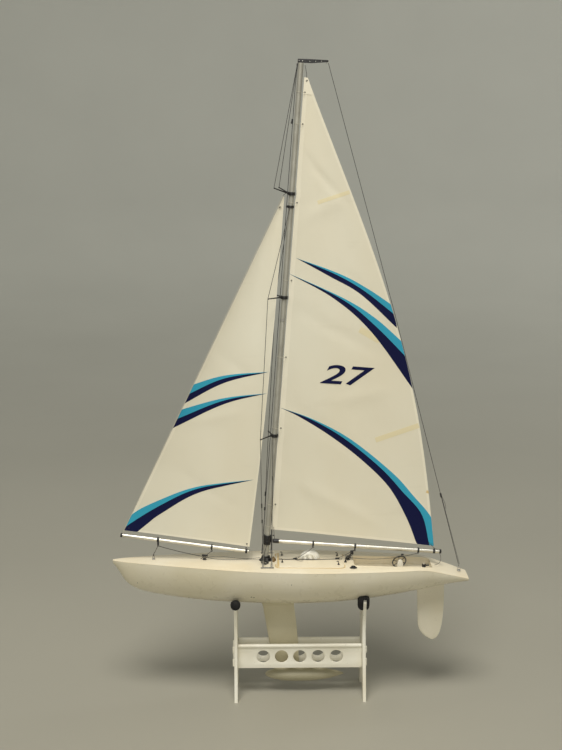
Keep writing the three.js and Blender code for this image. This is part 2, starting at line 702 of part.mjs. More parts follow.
function standPlate(x, tipZ) {
  const slots = [];
  for (const side of [-1, 1]) {
    for (const [low, high] of TENONS) {
      const y = side * STAND.railY;
      slots.push(box(-5, 5, y - 3 - GAP, y + 3 + GAP, low - GAP, high + GAP));
    }
  }
  return cut(plateYZ(plateShape(tipZ), STAND.thick), ...slots).translate(x, 0, 0);
}

function standRail(side) {
  const { foreX, aftX, thick, railTop, railBottom, railY, tenon } = STAND;
  const clear = thick / 2 + GAP;
  const y = side * railY;
  const web = box(foreX + clear, aftX - clear, y - 3, y + 3, railBottom, railTop - 4);
  const tenons = TENONS.map(([low, high]) =>
    box(foreX - thick / 2 - tenon, aftX + thick / 2 + tenon, y - 3, y + 3, low, high));
  const lip = new THREE.CylinderGeometry(4.5, 4.5, aftX - foreX - 2 * clear, 16)
    .rotateZ(Math.PI / 2).translate((foreX + aftX) / 2, y + side * 1.5, railTop - 4.5);
  const holes = [];
  for (let i = 0; i < RAIL_HOLES.count; i += 1) {
    const x = (foreX + aftX) / 2 + (i - (RAIL_HOLES.count - 1) / 2) * RAIL_HOLES.pitch;
    const hole = new THREE.CylinderGeometry(RAIL_HOLES.r, RAIL_HOLES.r, 20, 18);
    holes.push(hole.translate(x, y, RAIL_HOLES.z));
  }
  return cut(joined(web, ...tenons, lip), ...holes);
}

// A foam sleeve slit over the tip of one prong and pressed to the hull's shape on top.
function foamPad(x, tipZ, side) {
  const { tipY, tipR, thick, padWidth } = STAND;
  const wide = tipR + 6;
  const shape = new THREE.Shape();
  shape.moveTo(tipY - wide - 2, tipZ - 10);
  shape.lineTo(tipY + wide - 3, tipZ - 10);
  shape.lineTo(tipY + wide, tipZ + 4);
  shape.absarc(tipY, tipZ + 4, wide, 0, Math.PI, false);
  const block = new THREE.ExtrudeGeometry(shape, {
    depth: padWidth - 8, bevelThickness: 4, bevelSize: 3.5, bevelOffset: -3.5,
    bevelSegments: 1, curveSegments: 7,
  }).translate(0, 0, 4 - padWidth / 2).rotateX(Math.PI / 2).rotateZ(Math.PI / 2);
  const slit = [[GAP, 0], [-GAP, 0], [0, GAP], [0, -GAP]].map(([y, z]) =>
    plateYZ(plateShape(tipZ), thick + 2 * GAP).translate(0, y, z));
  const pad = cut(block, ...slit).translate(x, 0, 0);
  const placed = side > 0 ? pad : pad.rotateZ(Math.PI).translate(2 * x, 0, 0);
  return cut(placed, hullForm(x - 60, x + 60, -GAP, 20, 6));
}

// ---- Assembly -----------------------------------------------------------------------------
addPart("stand_plate_fore", standPlate(STAND.foreX, STAND.foreTipZ), whitePlastic);
addPart("stand_plate_aft", standPlate(STAND.aftX, STAND.aftTipZ), whitePlastic);
addPart("hull_shell", hullShell(), shellPlastic);
addPart("deck_shell", deckShell(), shellPlastic);
addPart("hatch_cover", hatchCover(), shellPlastic);
addPart("keel_fin", keelFin(), shellPlastic);
addPart("keel_bulb", keelBulb(), shellPlastic);
addPart("keel_bolt", keelBolt(), steel);
addPart("rudder_blade", rudderBlade(), shellPlastic);
addPart("rudder_tube", rudderTube(), steel);
addPart("tiller_arm", tillerArm(), blackPlastic);
addPart("rudder_pushrod", rudderPushrod(), steel);
addPart("servo_tray", servoTray(), whitePlastic);
addPart("rudder_servo", servo(STEERING_SERVO), blackPlastic);
addPart("servo_arm", servoArm(), whitePlastic);
addPart("winch_servo", servo(WINCH_SERVO), blackPlastic);
addPart("winch_arm", winchArm(), whitePlastic);
addPart("battery_pack", box(-104, -46, -15, 15, 215, 247), blackPlastic);
addPart("radio_receiver", box(-15, 30, 26, 56, 264.4, 278), blackPlastic);
addPart("mast_step", mastStep(), blackPlastic);
addPart("jib_pivot_eye", ringEye(JIB_PIVOT[0], 0, 2.4), steel);
addPart("jib_sheet_eye", ringEye(-188, 0, 3), steel);
addPart("main_sheet_eye", ringEye(127, 6, 3), blackPlastic);
addPart("stern_eye", ringEye(STERN_EYE_X, 0, 3), steel);
addPart("switch_boot", switchBoot(), blackPlastic);
addPart("companion_cowl", companionCowl(), whitePlastic);
addPart("helm_pedestal", pedestal(), whitePlastic);
addPart("steering_wheel", steeringWheel(), blackPlastic);
addPart("backstay", backstay(), line);
addPart("jumper_stays", jumperStays(), line);
addPart("outhaul_tail", outhaulTail(), line);
addPart("jib_boom_tube", jibBoomTube(), alloy);
addPart("jib_boom_nose", jibBoomNose(), blackPlastic);
addPart("jib_pivot_link", jibPivot(), blackPlastic);
addPart("jib_sheet_band", jibSheetBand(), blackPlastic);
addPart("jib_sail", jibSail(), sailcloth);

addPart("mast_lower", sleeve(MAST.bore, MAST.r, 1.4, MAST.joint), greyAlloy, rig);
addPart("mast_upper", sleeve(MAST.bore, MAST.r, MAST.joint + 4 + GAP, MAST.length), greyAlloy, rig);
addPart("mast_joiner", mastJoiner(), steel, rig);
addPart("masthead_crane", mastheadCrane(), blackPlastic, rig);
addPart("boom_stop_collar", stopCollar(), blackPlastic, rig);
addPart("boom_socket", boomSocket(), blackPlastic, rig);
addPart("main_boom_tube", mainBoomTube(), alloy, rig);
addPart("main_boom_end", boomEnd(), blackPlastic, rig);
addPart("mainsail", mainsail(), sailcloth, rig);
for (const [name, size] of Object.entries(SPREADERS)) {
  addPart(`${name}_spreader`, spreader(size), greyAlloy, rig);
}
model.add(rig);

for (const [name, side] of [["port", -1], ["starboard", 1]]) {
  addPart(`stand_rail_${name}`, standRail(side), whitePlastic);
  addPart(`stand_pad_fore_${name}`, foamPad(STAND.foreX, STAND.foreTipZ, side), foam);
  addPart(`stand_pad_aft_${name}`, foamPad(STAND.aftX, STAND.aftTipZ, side), foam);
  addPart(`chainplate_${name}`, chainplate(side), steel);
  addPart(`upper_shroud_${name}`, upperShroud(side), line);
  addPart(`lower_shroud_${name}`, lowerShroud(side), line);
}

export default model;
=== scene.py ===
"""A model racing sloop on its stand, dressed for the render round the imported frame.

Lengths are in millimetres until a mesh is made. +X points to the stern, +Y to starboard, +Z up.
"""

import math

import bmesh
import bpy
from mathutils import Matrix, Vector, noise


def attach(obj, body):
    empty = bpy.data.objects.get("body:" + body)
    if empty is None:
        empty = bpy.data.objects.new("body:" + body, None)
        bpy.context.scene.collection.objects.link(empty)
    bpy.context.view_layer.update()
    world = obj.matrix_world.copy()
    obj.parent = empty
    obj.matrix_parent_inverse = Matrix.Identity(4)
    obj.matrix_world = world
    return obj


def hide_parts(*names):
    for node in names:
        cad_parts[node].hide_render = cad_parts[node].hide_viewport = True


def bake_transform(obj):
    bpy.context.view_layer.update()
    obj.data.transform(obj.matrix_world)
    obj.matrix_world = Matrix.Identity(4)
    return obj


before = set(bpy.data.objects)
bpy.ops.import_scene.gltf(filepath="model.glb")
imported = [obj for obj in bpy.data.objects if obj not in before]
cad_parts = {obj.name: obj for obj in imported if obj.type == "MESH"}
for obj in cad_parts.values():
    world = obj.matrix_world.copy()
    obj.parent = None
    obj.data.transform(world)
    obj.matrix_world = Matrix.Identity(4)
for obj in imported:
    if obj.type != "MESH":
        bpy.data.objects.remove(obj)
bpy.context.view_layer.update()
MM = 0.001
collection = bpy.context.scene.collection

# ---- Sizes shared with the frame ------------------------------------------------------------
HULL_END = 388
# Distance from midships, half beam, rim height, keel height, bilge fullness.
STATIONS = [
    (-388, 3, 303.5, 298, 1.5), (-377, 9, 303.3, 283, 1.4), (-360, 16, 303.1, 256, 1.5),
    (-338, 22.5, 302.8, 241, 1.6), (-300, 33, 302.2, 229.5, 1.75), (-200, 56, 300.4, 215.5, 2),
    (-90, 76, 298, 210, 2.15), (30, 86, 296.5, 209.5, 2.25), (130, 81, 295, 215, 2.25),
    (235, 66.5, 293.2, 228.5, 2.2), (293, 55.5, 291.3, 239, 2.15), (335, 46, 281, 247, 2.1),
    (388, 31, 265, 256.5, 2.2),
]
DECK_LIFT = 1.9                      # deck's upper edge above the hull's rim
HATCH = dict(fore=-30, aft=116, half=53)
WELL = dict(fore=138, aft=308, half=37, sole=281.5)
RUDDER_X = 293
RAKE = math.radians(4.17)
MAST_FOOT = Vector((-53.9, 0, 303.5))
MAST_R = 5.5
MAST_TOP = 1066
MAST_JOINT = 528
RIG = Matrix.Translation(MAST_FOOT) @ Matrix.Rotation(RAKE, 4, "Y")
QUARTER = math.pi / 2
STANDING = Matrix.Rotation(QUARTER, 4, "X")      # a plate's own X and Y become X and Z
LYING = Matrix.Rotation(QUARTER, 4, "Y")         # a turned shape's axis points aft
BOOM_HEIGHT = 43.2
BOOM_START, BOOM_END = 25.2, 378
BOOM_R = 4.3
JIB_FORE, JIB_AFT = Vector((-366, 0, 360.5)), Vector((-91, 0, 322))
JIB_R = 4
JIB_LENGTH = (JIB_AFT - JIB_FORE).length
# Height, forward sweep, half span and rise of the tips.
SPREADERS = {"lower": (278, 22, 48, -2), "upper": (578, 27, 46, -1), "jumper": (797, 33, 30, 10)}
SPREADER_TURN = math.radians(-10.3)
SIDES = {"port": -1, "starboard": 1}
STAND_X = {"fore": -120, "aft": 160}
STAND_TIP = {"fore": 214, "aft": 222}  # height of the prongs' round tips
STAND_THICK = 7.4
STERN_EYE_X = 370
SHROUD_Y = 55                          # how far the chainplates stand from midships


def on_rig(x, y, height):
    return RIG @ Vector((x, y, height))


def angles(count):
    """Directions spread evenly round a full turn."""
    return [2 * math.pi * k / count for k in range(count)]


def aimed(point, direction, axis="Z"):
    """A place at the point whose own axis looks in the direction."""
    turn = Vector(direction).to_track_quat(axis, "Y").to_matrix().to_4x4()
    return Matrix.Translation(Vector(point)) @ turn


def athwart(x):
    """A place at x where a plate's own X and Y become Y and Z."""
    return Matrix(((0, 0, 1, x), (1, 0, 0, 0), (0, 1, 0, 0), (0, 0, 0, 1)))


def at(x, y=0, z=0):
    return Matrix.Translation((x, y, z))


JIB_BOOM = aimed(JIB_FORE, JIB_AFT - JIB_FORE)


# ---- Camera, lights and floor ---------------------------------------------------------------
CAMERA_PLACE = (-0.06016, -3, 1.2321)
CAMERA_TURN = (0.0136, 0.1713, -0.0028)
LENS = 68.25


def make_camera():
    yaw, pitch, roll = CAMERA_TURN
    forward = Vector((math.sin(yaw) * math.cos(pitch), math.cos(yaw) * math.cos(pitch), -math.sin(pitch)))
    level = Vector((math.cos(yaw), -math.sin(yaw), 0))
    upright = level.cross(forward)
    right = level * math.cos(roll) + upright * math.sin(roll)
    up = upright * math.cos(roll) - level * math.sin(roll)
    data = bpy.data.cameras.new("camera")
    data.lens = LENS
    data.clip_end = 60
    camera = bpy.data.objects.new("camera", data)
    turn = Matrix((right, up, -forward)).transposed().to_4x4()
    camera.matrix_world = at(*CAMERA_PLACE) @ turn
    collection.objects.link(camera)
    bpy.context.scene.camera = camera


def soft_light(name, place, target, size, watts, colour=(1, 1, 1)):
    data = bpy.data.lights.new(name, "AREA")
    data.shape = "DISK"
    data.size = size
    data.energy = watts
    data.color = colour
    light = bpy.data.objects.new(name, data)
    light.location = place
    light.rotation_euler = (Vector(target) - Vector(place)).to_track_quat("-Z", "Y").to_euler()
    collection.objects.link(light)


def make_studio():
    soft_light("key", (-0.4, -2.4, 5.4), (0, 0, 0.3), 2.7, 254, (1, 0.975, 0.93))
    soft_light("front_fill", (-0.2, -7, 1.9), (0, 0, 0.7), 3.0, 72, (1, 0.99, 0.96))
    soft_light("wall_wash", (4.2, 3.0, 5.8), (2.6, 8.5, 1.8), 3.0, 95, (0.99, 0.99, 1))
    world = bpy.data.worlds.new("studio")
    world.use_nodes = True
    background = world.node_tree.nodes["Background"]
    background.inputs["Color"].default_value = (0.90, 0.90, 0.86, 1)
    background.inputs["Strength"].default_value = 0.33
    bpy.context.scene.world = world
    bpy.context.scene.view_settings.view_transform = "Standard"
    bpy.context.scene.view_settings.look = "None"


# ---- Materials ------------------------------------------------------------------------------
CLEAR, SOLID = (0, 0, 0, 1), (1, 1, 1, 1)   # the two ends of a mask


def darker(colour, share):
    return tuple(part * share for part in colour[:3]) + (1,)


def tone(red, green, blue):
    """A colour as it looks on a screen, 0 to 255, made linear for the shader."""
    linear = [((c / 255 + 0.055) / 1.055) ** 2.4 if c > 10 else c / 3294.6 for c in (red, green, blue)]
    return (*linear, 1)


class Look:
    """A principled shader whose colour, roughness and relief come from procedural textures."""

    def __init__(self, name, slot, roughness, **sockets):
        self.slot = slot
        self.material = bpy.data.materials.new(name)
        self.material.use_nodes = True
        self.tree = self.material.node_tree
        self.shader = self.tree.nodes["Principled BSDF"]
        self.place = self.add("ShaderNodeTexCoord").outputs["Object"]
        self.roughness = roughness
        self.normal = None
        for socket, value in sockets.items():
            self.shader.inputs[socket.replace("_", " ")].default_value = value

    def add(self, kind, **values):
        node = self.tree.nodes.new(kind)
        for key, value in values.items():
            setattr(node, key, value)
        return node

    def link(self, source, target):
        self.tree.links.new(source, target)

    def feed(self, node, sockets):
        """Sets each socket to a plain value, or links it to another node."""
        for socket, value in sockets.items():
            if isinstance(value, (tuple, float, int)):
                node.inputs[socket].default_value = value
            else:
                self.link(value, node.inputs[socket])

    def stretched(self, stretch):
        mapping = self.add("ShaderNodeMapping")
        mapping.inputs["Scale"].default_value = stretch
        self.link(self.place, mapping.inputs["Vector"])
        return mapping.outputs["Vector"]

    def noise(self, scale, detail=4, stretch=(1, 1, 1)):
        node = self.add("ShaderNodeTexNoise")
        self.feed(node, {"Scale": scale, "Detail": detail, "Vector": self.stretched(stretch)})
        return node.outputs["Fac"]

    def cells(self, scale):
        node = self.add("ShaderNodeTexVoronoi")
        self.feed(node, {"Scale": scale, "Vector": self.place})
        return node.outputs["Distance"]

    def bands(self, scale, direction):
        node = self.add("ShaderNodeTexWave", bands_direction=direction)
        self.feed(node, {"Scale": scale, "Distortion": 0.4, "Vector": self.place})
        return node.outputs["Fac"]

    def ramp(self, value, stops):
        node = self.add("ShaderNodeValToRGB")
        elements = node.color_ramp.elements
        while len(elements) < len(stops):
            elements.new(0.5)
        for element, (position, colour) in zip(elements, stops):
            element.position = position
            element.color = colour
        self.link(value, node.inputs["Fac"])
        return node.outputs["Color"]

    def mix(self, amount, first, second, blend="MIX"):
        node = self.add("ShaderNodeMix", data_type="RGBA", blend_type=blend)
        self.feed(node, {0: amount, 6: first, 7: second})
        return node.outputs[2]

    def sum(self, first, second, kind="ADD"):
        node = self.add("ShaderNodeMath", operation=kind)
        self.feed(node, {0: first, 1: second})
        return node.outputs[0]

    def colour(self, value):
        self.link(value, self.shader.inputs["Base Color"])

    def rough(self, value, spread=0.12):
        """Lets the roughness wander that far to either side of its middle value."""
        node = self.add("ShaderNodeMapRange")
        low, high = self.roughness - spread, self.roughness + spread
        self.feed(node, {"To Min": low, "To Max": high, "Value": value})
        self.link(node.outputs["Result"], self.shader.inputs["Roughness"])

    def relief(self, height, depth, strength=1.0):
        """Adds a bump of that depth in millimetres over what is there already."""
        node = self.add("ShaderNodeBump")
        self.feed(node, {"Strength": strength, "Distance": depth * MM, "Height": height})
        if self.normal:
            self.link(self.normal, node.inputs["Normal"])
        self.normal = node.outputs["Normal"]
        self.link(self.normal, self.shader.inputs["Normal"])


def plastic(name, slot, base, aged, roughness=0.35, dirt=0.5, grain=0.06, **sockets):
    """Moulded plastic: uneven yellowing, a few dark specks, worn gloss and a fine grain."""
    look = Look(name, slot, roughness, **sockets)
    patches = look.ramp(look.noise(9, 6), [(0.35, base), (0.75, aged)])
    specks = look.ramp(look.noise(260, 2), [(0.70, CLEAR), (0.76, SOLID)])
    speck_amount = look.sum(specks, dirt, "MULTIPLY")
    look.colour(look.mix(speck_amount, patches, darker(aged, 0.45)))
    look.rough(look.noise(60, 5))
    look.relief(look.noise(700, 3), grain)
    look.relief(look.noise(45, 2, (0.15, 1, 1)), grain * 3, 0.5)
    return look


def metal(name, slot, base, dull, roughness, brushed, bare=1.0, **sockets):
    """Drawn tube or sheet: fine lines along it, dull patches and small scratches."""
    look = Look(name, slot, roughness, Metallic=bare, **sockets)
    look.colour(look.ramp(look.noise(30, 5), [(0.3, base), (0.8, dull)]))
    lines = look.noise(900, 3, brushed)
    look.rough(lines, 0.10)
    look.relief(lines, 0.012)
    look.relief(look.noise(180, 2), 0.02, 0.4)
    return look


def cord_look(name, slot, base, worn, pitch=420):
    """Braided line: slanting strands with a little fuzz."""
    look = Look(name, slot, 0.75, Sheen_Weight=0.3)
    strands = look.sum(look.bands(pitch, "DIAGONAL"), look.bands(pitch * 1.3, "Z"))
    look.colour(look.ramp(look.noise(500, 3), [(0.3, base), (0.8, worn)]))
    look.relief(strands, 0.12)
    look.rough(look.noise(300, 2))
    return look


def sailcloth_look(name, slot, base, aged, roughness=0.62, soiled=1.0, sheen=0.1, gloss=0.5):
    """Light woven cloth: threads both ways, soft creases, faint soiling."""
    look = Look(name, slot, roughness, Sheen_Weight=sheen, Specular_IOR_Level=gloss)
    patches = look.ramp(look.noise(3.2, 5, (1, 1, 0.55)), [(0.32, base), (0.78, aged)])
    streaks = look.ramp(look.noise(14, 6, (0.4, 1, 2.2)), [(0.62, CLEAR), (0.85, SOLID)])
    amount = look.sum(streaks, 0.35 * soiled, "MULTIPLY")
    look.colour(look.mix(amount, patches, darker(aged, 0.82)))
    look.rough(look.noise(80, 4), 0.08)
    threads = look.sum(look.bands(480, "X"), look.bands(480, "Z"))
    look.relief(threads, 0.05, 0.6)
    look.relief(look.noise(26, 3, (1, 1, 0.6)), 1.1, 0.35)
    return look


def foam_look():
    look = Look("foam_rubber", "foam", 0.9)
    look.colour(look.ramp(look.noise(140, 4), [(0.3, tone(10, 10, 10)), (0.8, tone(34, 33, 31))]))
    look.relief(look.cells(900), 0.5)
    look.rough(look.noise(200, 2), 0.06)
    return look


def floor_look():
    """Studio paper, darker where the model stands than on the wall behind: the wall is painted lighter, as
    painted light for lamp light that does not reach it.
    """
    look = Look("studio_paper", "", 0.85)
    distance = look.add("ShaderNodeVectorMath", operation="LENGTH")
    look.link(look.place, distance.inputs[0])
    away = look.sum(distance.outputs["Value"], 0.1, "MULTIPLY")
    # Painted light: the colour brightens with distance from the model, so the far wall is lighter than the
    # floor under it.
    stops = [(0.0, tone(164, 160, 145)), (0.25, tone(163, 161, 149)), (0.7, tone(200, 200, 190))]
    shade = look.ramp(away, stops)
    grain = look.ramp(look.noise(1.4, 3), [(0.3, (0.96, 0.96, 0.96, 1)), (0.7, SOLID)])
    look.colour(look.mix(1.0, shade, grain, "MULTIPLY"))
    look.relief(look.noise(60, 3), 0.2)
    return look


hull_plastic = plastic("hull_plastic", "hull",
                       tone(228, 221, 200), tone(218, 209, 180), 0.3, 0.25, Coat_Weight=0.25)
deck_plastic = plastic("deck_plastic", "deck",
                       tone(241, 231, 206), tone(233, 218, 184), 0.38, 0.5, Coat_Weight=0.1)
foil_plastic = plastic("foil_plastic", "foils", tone(224, 217, 196), tone(212, 203, 176), 0.36, 0.3)
# The keel's plastic is the foils' plastic painted darker: painted shade for the hull's shadow on the fin.
keel_plastic_painted_shade = plastic("keel_plastic_painted_shade", "foils", tone(206, 198, 168), tone(190, 181, 148), 0.4, 0.4)
ballast_paint = plastic("ballast_paint", "ballast",
                        tone(176, 170, 144), tone(158, 151, 122), 0.42, 0.6, 0.12)
white_plastic = plastic("white_plastic", "white_plastic",
                        tone(244, 242, 232), tone(232, 226, 208), 0.4, 0.5)
stand_plastic = plastic("stand_plastic", "stand_plastic",
                        tone(247, 244, 230), tone(234, 227, 204), 0.42, 0.8, 0.1)
black_plastic = plastic("black_plastic", "black_plastic",
                        tone(18, 18, 20), tone(44, 43, 42), 0.42, 0.2)
boot_rubber = plastic("boot_rubber", "rubber", tone(20, 20, 20), tone(46, 45, 42), 0.7, 0.3)
yellowed_glue = plastic("yellowed_glue", "deck", tone(222, 196, 140), tone(198, 166, 104), 0.5, 0.4)
dried_glue = plastic("dried_glue", "white_plastic",
                     tone(120, 96, 52), tone(84, 62, 30), 0.4, 0.6, 0.3)
mast_metal = metal("mast_metal", "mast_alloy",
                   tone(182, 180, 168), tone(158, 155, 143), 0.5, (1, 1, 0.03), 0.35)
boom_metal = metal("boom_metal", "boom_alloy",
                   tone(226, 223, 212), tone(186, 182, 168), 0.34, (0.03, 1, 1))
steel = metal("steel", "steel", tone(196, 194, 188), tone(150, 147, 140), 0.36, (1, 0.2, 0.2), 0.7)
rigging_cord = cord_look("rigging_cord", "rigging_line", tone(26, 26, 26), tone(66, 64, 60))
pale_thread = cord_look("pale_thread", "rigging_line", tone(214, 208, 190), tone(186, 178, 156))
sheet_cord = cord_look("sheet_cord", "sheet_line", tone(52, 48, 42), tone(104, 98, 86))
sailcloth = sailcloth_look("sailcloth", "sailcloth", tone(232, 227, 207), tone(224, 214, 187))
hem_cloth = sailcloth_look("hem_cloth", "sailcloth", tone(240, 234, 214), tone(231, 222, 197))
tape_cloth = sailcloth_look("tape_cloth", "sailcloth",
                            tone(232, 221, 184), tone(224, 210, 168), 0.5)
stain_cloth = sailcloth_look("stain_cloth", "sailcloth",
                             tone(222, 196, 140), tone(214, 182, 120), 0.6)
navy_film = sailcloth_look("navy_film", "sail_navy",
                           tone(14, 20, 66), tone(10, 14, 54), 0.6, 0.2, 0, 0.15)
blue_film = sailcloth_look("blue_film", "sail_turquoise",
                           tone(52, 166, 196), tone(44, 152, 182), 0.5, 0.3, 0, 0.3)


# ---- Mesh helpers ---------------------------------------------------------------------------
class Shape:
    """Closed solids gathered into one mesh."""

    def __init__(self):
        self.points = []
        self.faces = []

    def add(self, points, faces, place=None):
        start = len(self.points)
        self.points += [place @ Vector(p) if place else Vector(p) for p in points]
        self.faces += [[start + i for i in face] for face in faces]
        return self

    def skin(self, rows, ring=True, caps=True, place=None):
        """A skin over rows of points; rings are closed round, and caps close the two ends."""
        count = len(rows[0])
        faces = []
        for i in range(len(rows) - 1):
            for j in range(count if ring else count - 1):
                a, b = i * count + j, i * count + (j + 1) % count
                faces.append([a, b, b + count, a + count])
        if caps:
            last = (len(rows) - 1) * count
            faces += [list(range(count))[::-1], list(range(last, last + count))]
        return self.add([p for row in rows for p in row], faces, place)

    def tube(self, path, radius, sides=12, place=None, loop=False):
        """A round rod along a path; radius is one number or one for each point."""
        path = [Vector(p) for p in path]
        count = len(path)
        radii = radius if isinstance(radius, (list, tuple)) else [radius] * count
        side = None
        rows = []
        for i, point in enumerate(path):
            before = path[i - 1] if i or loop else point
            after = path[(i + 1) % count] if i + 1 < count or loop else point
            along = (after - before).normalized()
            if side is None:
                side = along.orthogonal().normalized()
            side = (side - along * side.dot(along)).normalized()
            other = along.cross(side)
            ring = [side * math.cos(a) + other * math.sin(a) for a in angles(sides)]
            rows.append([point + spoke * radii[i] for spoke in ring])
        if loop:
            rows.append(rows[0])
        return self.skin(rows, caps=not loop, place=place)

    def turned(self, profile, sides=48, place=None):
        """A solid of revolution about Z from [radius, height] pairs; ends off the axis are closed."""
        rows = []
        for radius, height in profile:
            reach = max(radius, 0.001)
            rows.append([(reach * math.cos(a), reach * math.sin(a), height) for a in angles(sides)])
        return self.skin(rows, place=place)

    def block(self, low, high, place=None, edge=0.4):
        """A box with chamfered edges."""
        bm = bmesh.new()
        bmesh.ops.create_cube(bm, size=1)
        centre = (Vector(low) + Vector(high)) / 2
        span = Vector(high) - Vector(low)
        for vertex in bm.verts:
            vertex.co = Vector(a * b for a, b in zip(vertex.co, span)) + centre
        bmesh.ops.bevel(bm, geom=bm.edges[:], offset=edge, segments=2, affect="EDGES", profile=0.5)
        bm.verts.index_update()
        self.add([v.co for v in bm.verts], [[v.index for v in f.verts] for f in bm.faces], place)
        bm.free()
        return self

    def screw(self, point, up=(0, 0, 1), radius=1.6):
        """A domed screw head with a slot across it."""
        place = aimed(point, up)
        dome = [(0, -0.3), (radius, -0.3), (radius, 0.3), (radius * 0.8, 0.75), (radius * 0.4, 0.95), (0, 1)]
        self.turned(dome, 20, place)
        return self.block((-radius * 0.8, -0.16, 0.7), (radius * 0.8, 0.16, 1.06), place, 0.05)

    def ring(self, centre, normal, radius, wire, sides=10, turns=28):
        loop = [(radius * math.cos(a), radius * math.sin(a), 0) for a in angles(turns)]
        return self.tube(loop, wire, sides, aimed(centre, normal), True)

    def mesh(self, name):
        data = bpy.data.meshes.new(name)
        data.from_pydata([p * MM for p in self.points], [], self.faces)
        weld(data)
        return data


def link_object(name, data):
    made = bpy.data.objects.new(name, data)
    collection.objects.link(made)
    return made


def evaluated_mesh(made):
    """The mesh that an object's modifiers make; the object itself is deleted."""
    bpy.context.view_layer.update()
    depsgraph = bpy.context.evaluated_depsgraph_get()
    data = bpy.data.meshes.new_from_object(made.evaluated_get(depsgraph))
    bpy.data.objects.remove(made)
    return data


def plate(outline, thick, edge, holes=(), place=None):
    """A flat piece with rounded edges, drawn in its own X and Y, its thickness about Z = 0."""
    curve = bpy.data.curves.new("plate", "CURVE")
    curve.dimensions = "2D"
    curve.fill_mode = "BOTH"
    curve.extrude = (thick / 2 - edge) * MM
    curve.bevel_depth = edge * MM
    curve.bevel_resolution = 2
    curve.offset = -edge * MM
    for loop in [outline, *holes]:
        spline = curve.splines.new("POLY")
        spline.points.add(len(loop) - 1)
        for point, (x, y) in zip(spline.points, loop):
            point.co = (x * MM, y * MM, 0, 1)
        spline.use_cyclic_u = True
    data = evaluated_mesh(link_object("plate", curve))
    weld(data)
    if place:
        data.transform(Matrix.Scale(MM, 4) @ place @ Matrix.Scale(1 / MM, 4))
    return data


def weld(data):
    """Joins points that lie together and turns every face outwards."""
    bm = bmesh.new()
    bm.from_mesh(data)
    bmesh.ops.remove_doubles(bm, verts=bm.verts, dist=2e-6)
    bmesh.ops.recalc_face_normals(bm, faces=bm.faces)
    bm.to_mesh(data)
    bm.free()


def carve(data, *cutters):
    """The mesh with each cutter's volume taken out of it."""
    body = link_object("body", data)
    tools = [link_object("cutter", cutter) for cutter in cutters]
    for tool in tools:
        modifier = body.modifiers.new("cut", "BOOLEAN")
        modifier.operation = "DIFFERENCE"
        modifier.solver = "EXACT"
        modifier.object = tool
    data = evaluated_mesh(body)
    for tool in tools:
        bpy.data.objects.remove(tool)
    return data


def coat(data, look, smooth):
    """Gives a mesh its material, and keeps edges sharper than that many degrees."""
    data.materials.clear()
    data.materials.append(look.material)
    data.shade_smooth()
    data.set_sharp_from_angle(angle=math.radians(smooth))


def piece(name, source, body, look, stands_for=(), smooth=38, between=None):
    """Adds a piece that rides on a body; a piece given between, as (bodies, start, end), is only left
    unattached where it stands.
    """
    data = source.mesh(name) if isinstance(source, Shape) else source
    data.name = name
    coat(data, look, smooth)
    made = link_object(name, data)
    if stands_for:
        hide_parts(*stands_for)
    if between:
        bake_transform(made)
    else:
        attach(made, body)
    return made


def dress(look, *nodes):
    """Gives CAD nodes that keep their own shape their material."""
    for node in nodes:
        coat(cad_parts[node].data, look, 30)


def spline_points(points, steps):
    """A smooth curve through the points, as steps for each span."""
    points = [Vector(p) for p in points]
    ends = [2 * points[0] - points[1], *points, 2 * points[-1] - points[-2]]
    curve = []
    for a, b, c, d in zip(ends, ends[1:], ends[2:], ends[3:]):
        for k in range(steps):
            t = k / steps
            curve.append(b + (c - a) * (t / 2) + (2 * a - 5 * b + 4 * c - d) * (t * t / 2)
                         + (3 * b - a - 3 * c + d) * (t * t * t / 2))
    return curve + [points[-1]]


def rounded_rectangle(x0, x1, y0, y1, radius, steps=6):
    corners = [(x1 - radius, y1 - radius, 0), (x0 + radius, y1 - radius, 90),
               (x0 + radius, y0 + radius, 180), (x1 - radius, y0 + radius, 270)]
    outline = []
    for x, y, start in corners:
        for k in range(steps + 1):
            angle = math.radians(start + 90 * k / steps)
            outline.append((x + radius * math.cos(angle), y + radius * math.sin(angle)))
    return outline


def circle(x, y, radius, steps=32):
    return [(x + radius * math.cos(a), y + radius * math.sin(a)) for a in angles(steps)]


def prism(outline, low, high):
    return Shape().skin([[(x, y, z) for x, y in outline] for z in (low, high)])


# ---- Hull and deck --------------------------------------------------------------------------
def station(x):
    """Half beam, rim, keel and fullness at x, on a smooth curve through the stations."""
    i = max((k for k in range(len(STATIONS) - 1) if STATIONS[k][0] <= x), default=0)
    a, b = STATIONS[i], STATIONS[i + 1]
    before, after = STATIONS[max(i - 1, 0)], STATIONS[min(i + 2, len(STATIONS) - 1)]
    run = b[0] - a[0]
    u = (x - a[0]) / run
    values = []
    for k in range(1, 5):
        slope_a = (b[k] - before[k]) / (b[0] - before[0]) * run
        slope_b = (after[k] - a[k]) / (after[0] - a[0]) * run
        rise = b[k] - a[k]
        values.append(a[k] + u * (slope_a + u * (3 * rise - 2 * slope_a - slope_b
                                                 + u * (slope_a + slope_b - 2 * rise))))
    return values


def along_hull(count, fore=-HULL_END, aft=HULL_END):
    middle, reach = (fore + aft) / 2, (aft - fore) / 2
    return [middle - reach * math.cos(math.pi * i / count) for i in range(count + 1)]


def hull_row(x, inset=0.0, count=48):
    beam, rim, keel, full = station(x)
    bow = max(0, (-x - 300) / 88)
    floor = keel + inset * (1 + bow)
    row = []
    for i in range(count + 1):
        angle = (i / count - 0.5) * math.pi
        side = math.copysign(abs(math.sin(angle)) ** (2 / full), angle)
        drop = max(0, math.cos(angle)) ** (2 / full)
        row.append((x, (beam - inset) * side, rim - (rim - floor) * drop))
    return row


def deck_top(x, y):
    beam, rim, _, _ = station(x)
    return rim + DECK_LIFT + 0.03 * beam * (1 - (y / beam) ** 2)


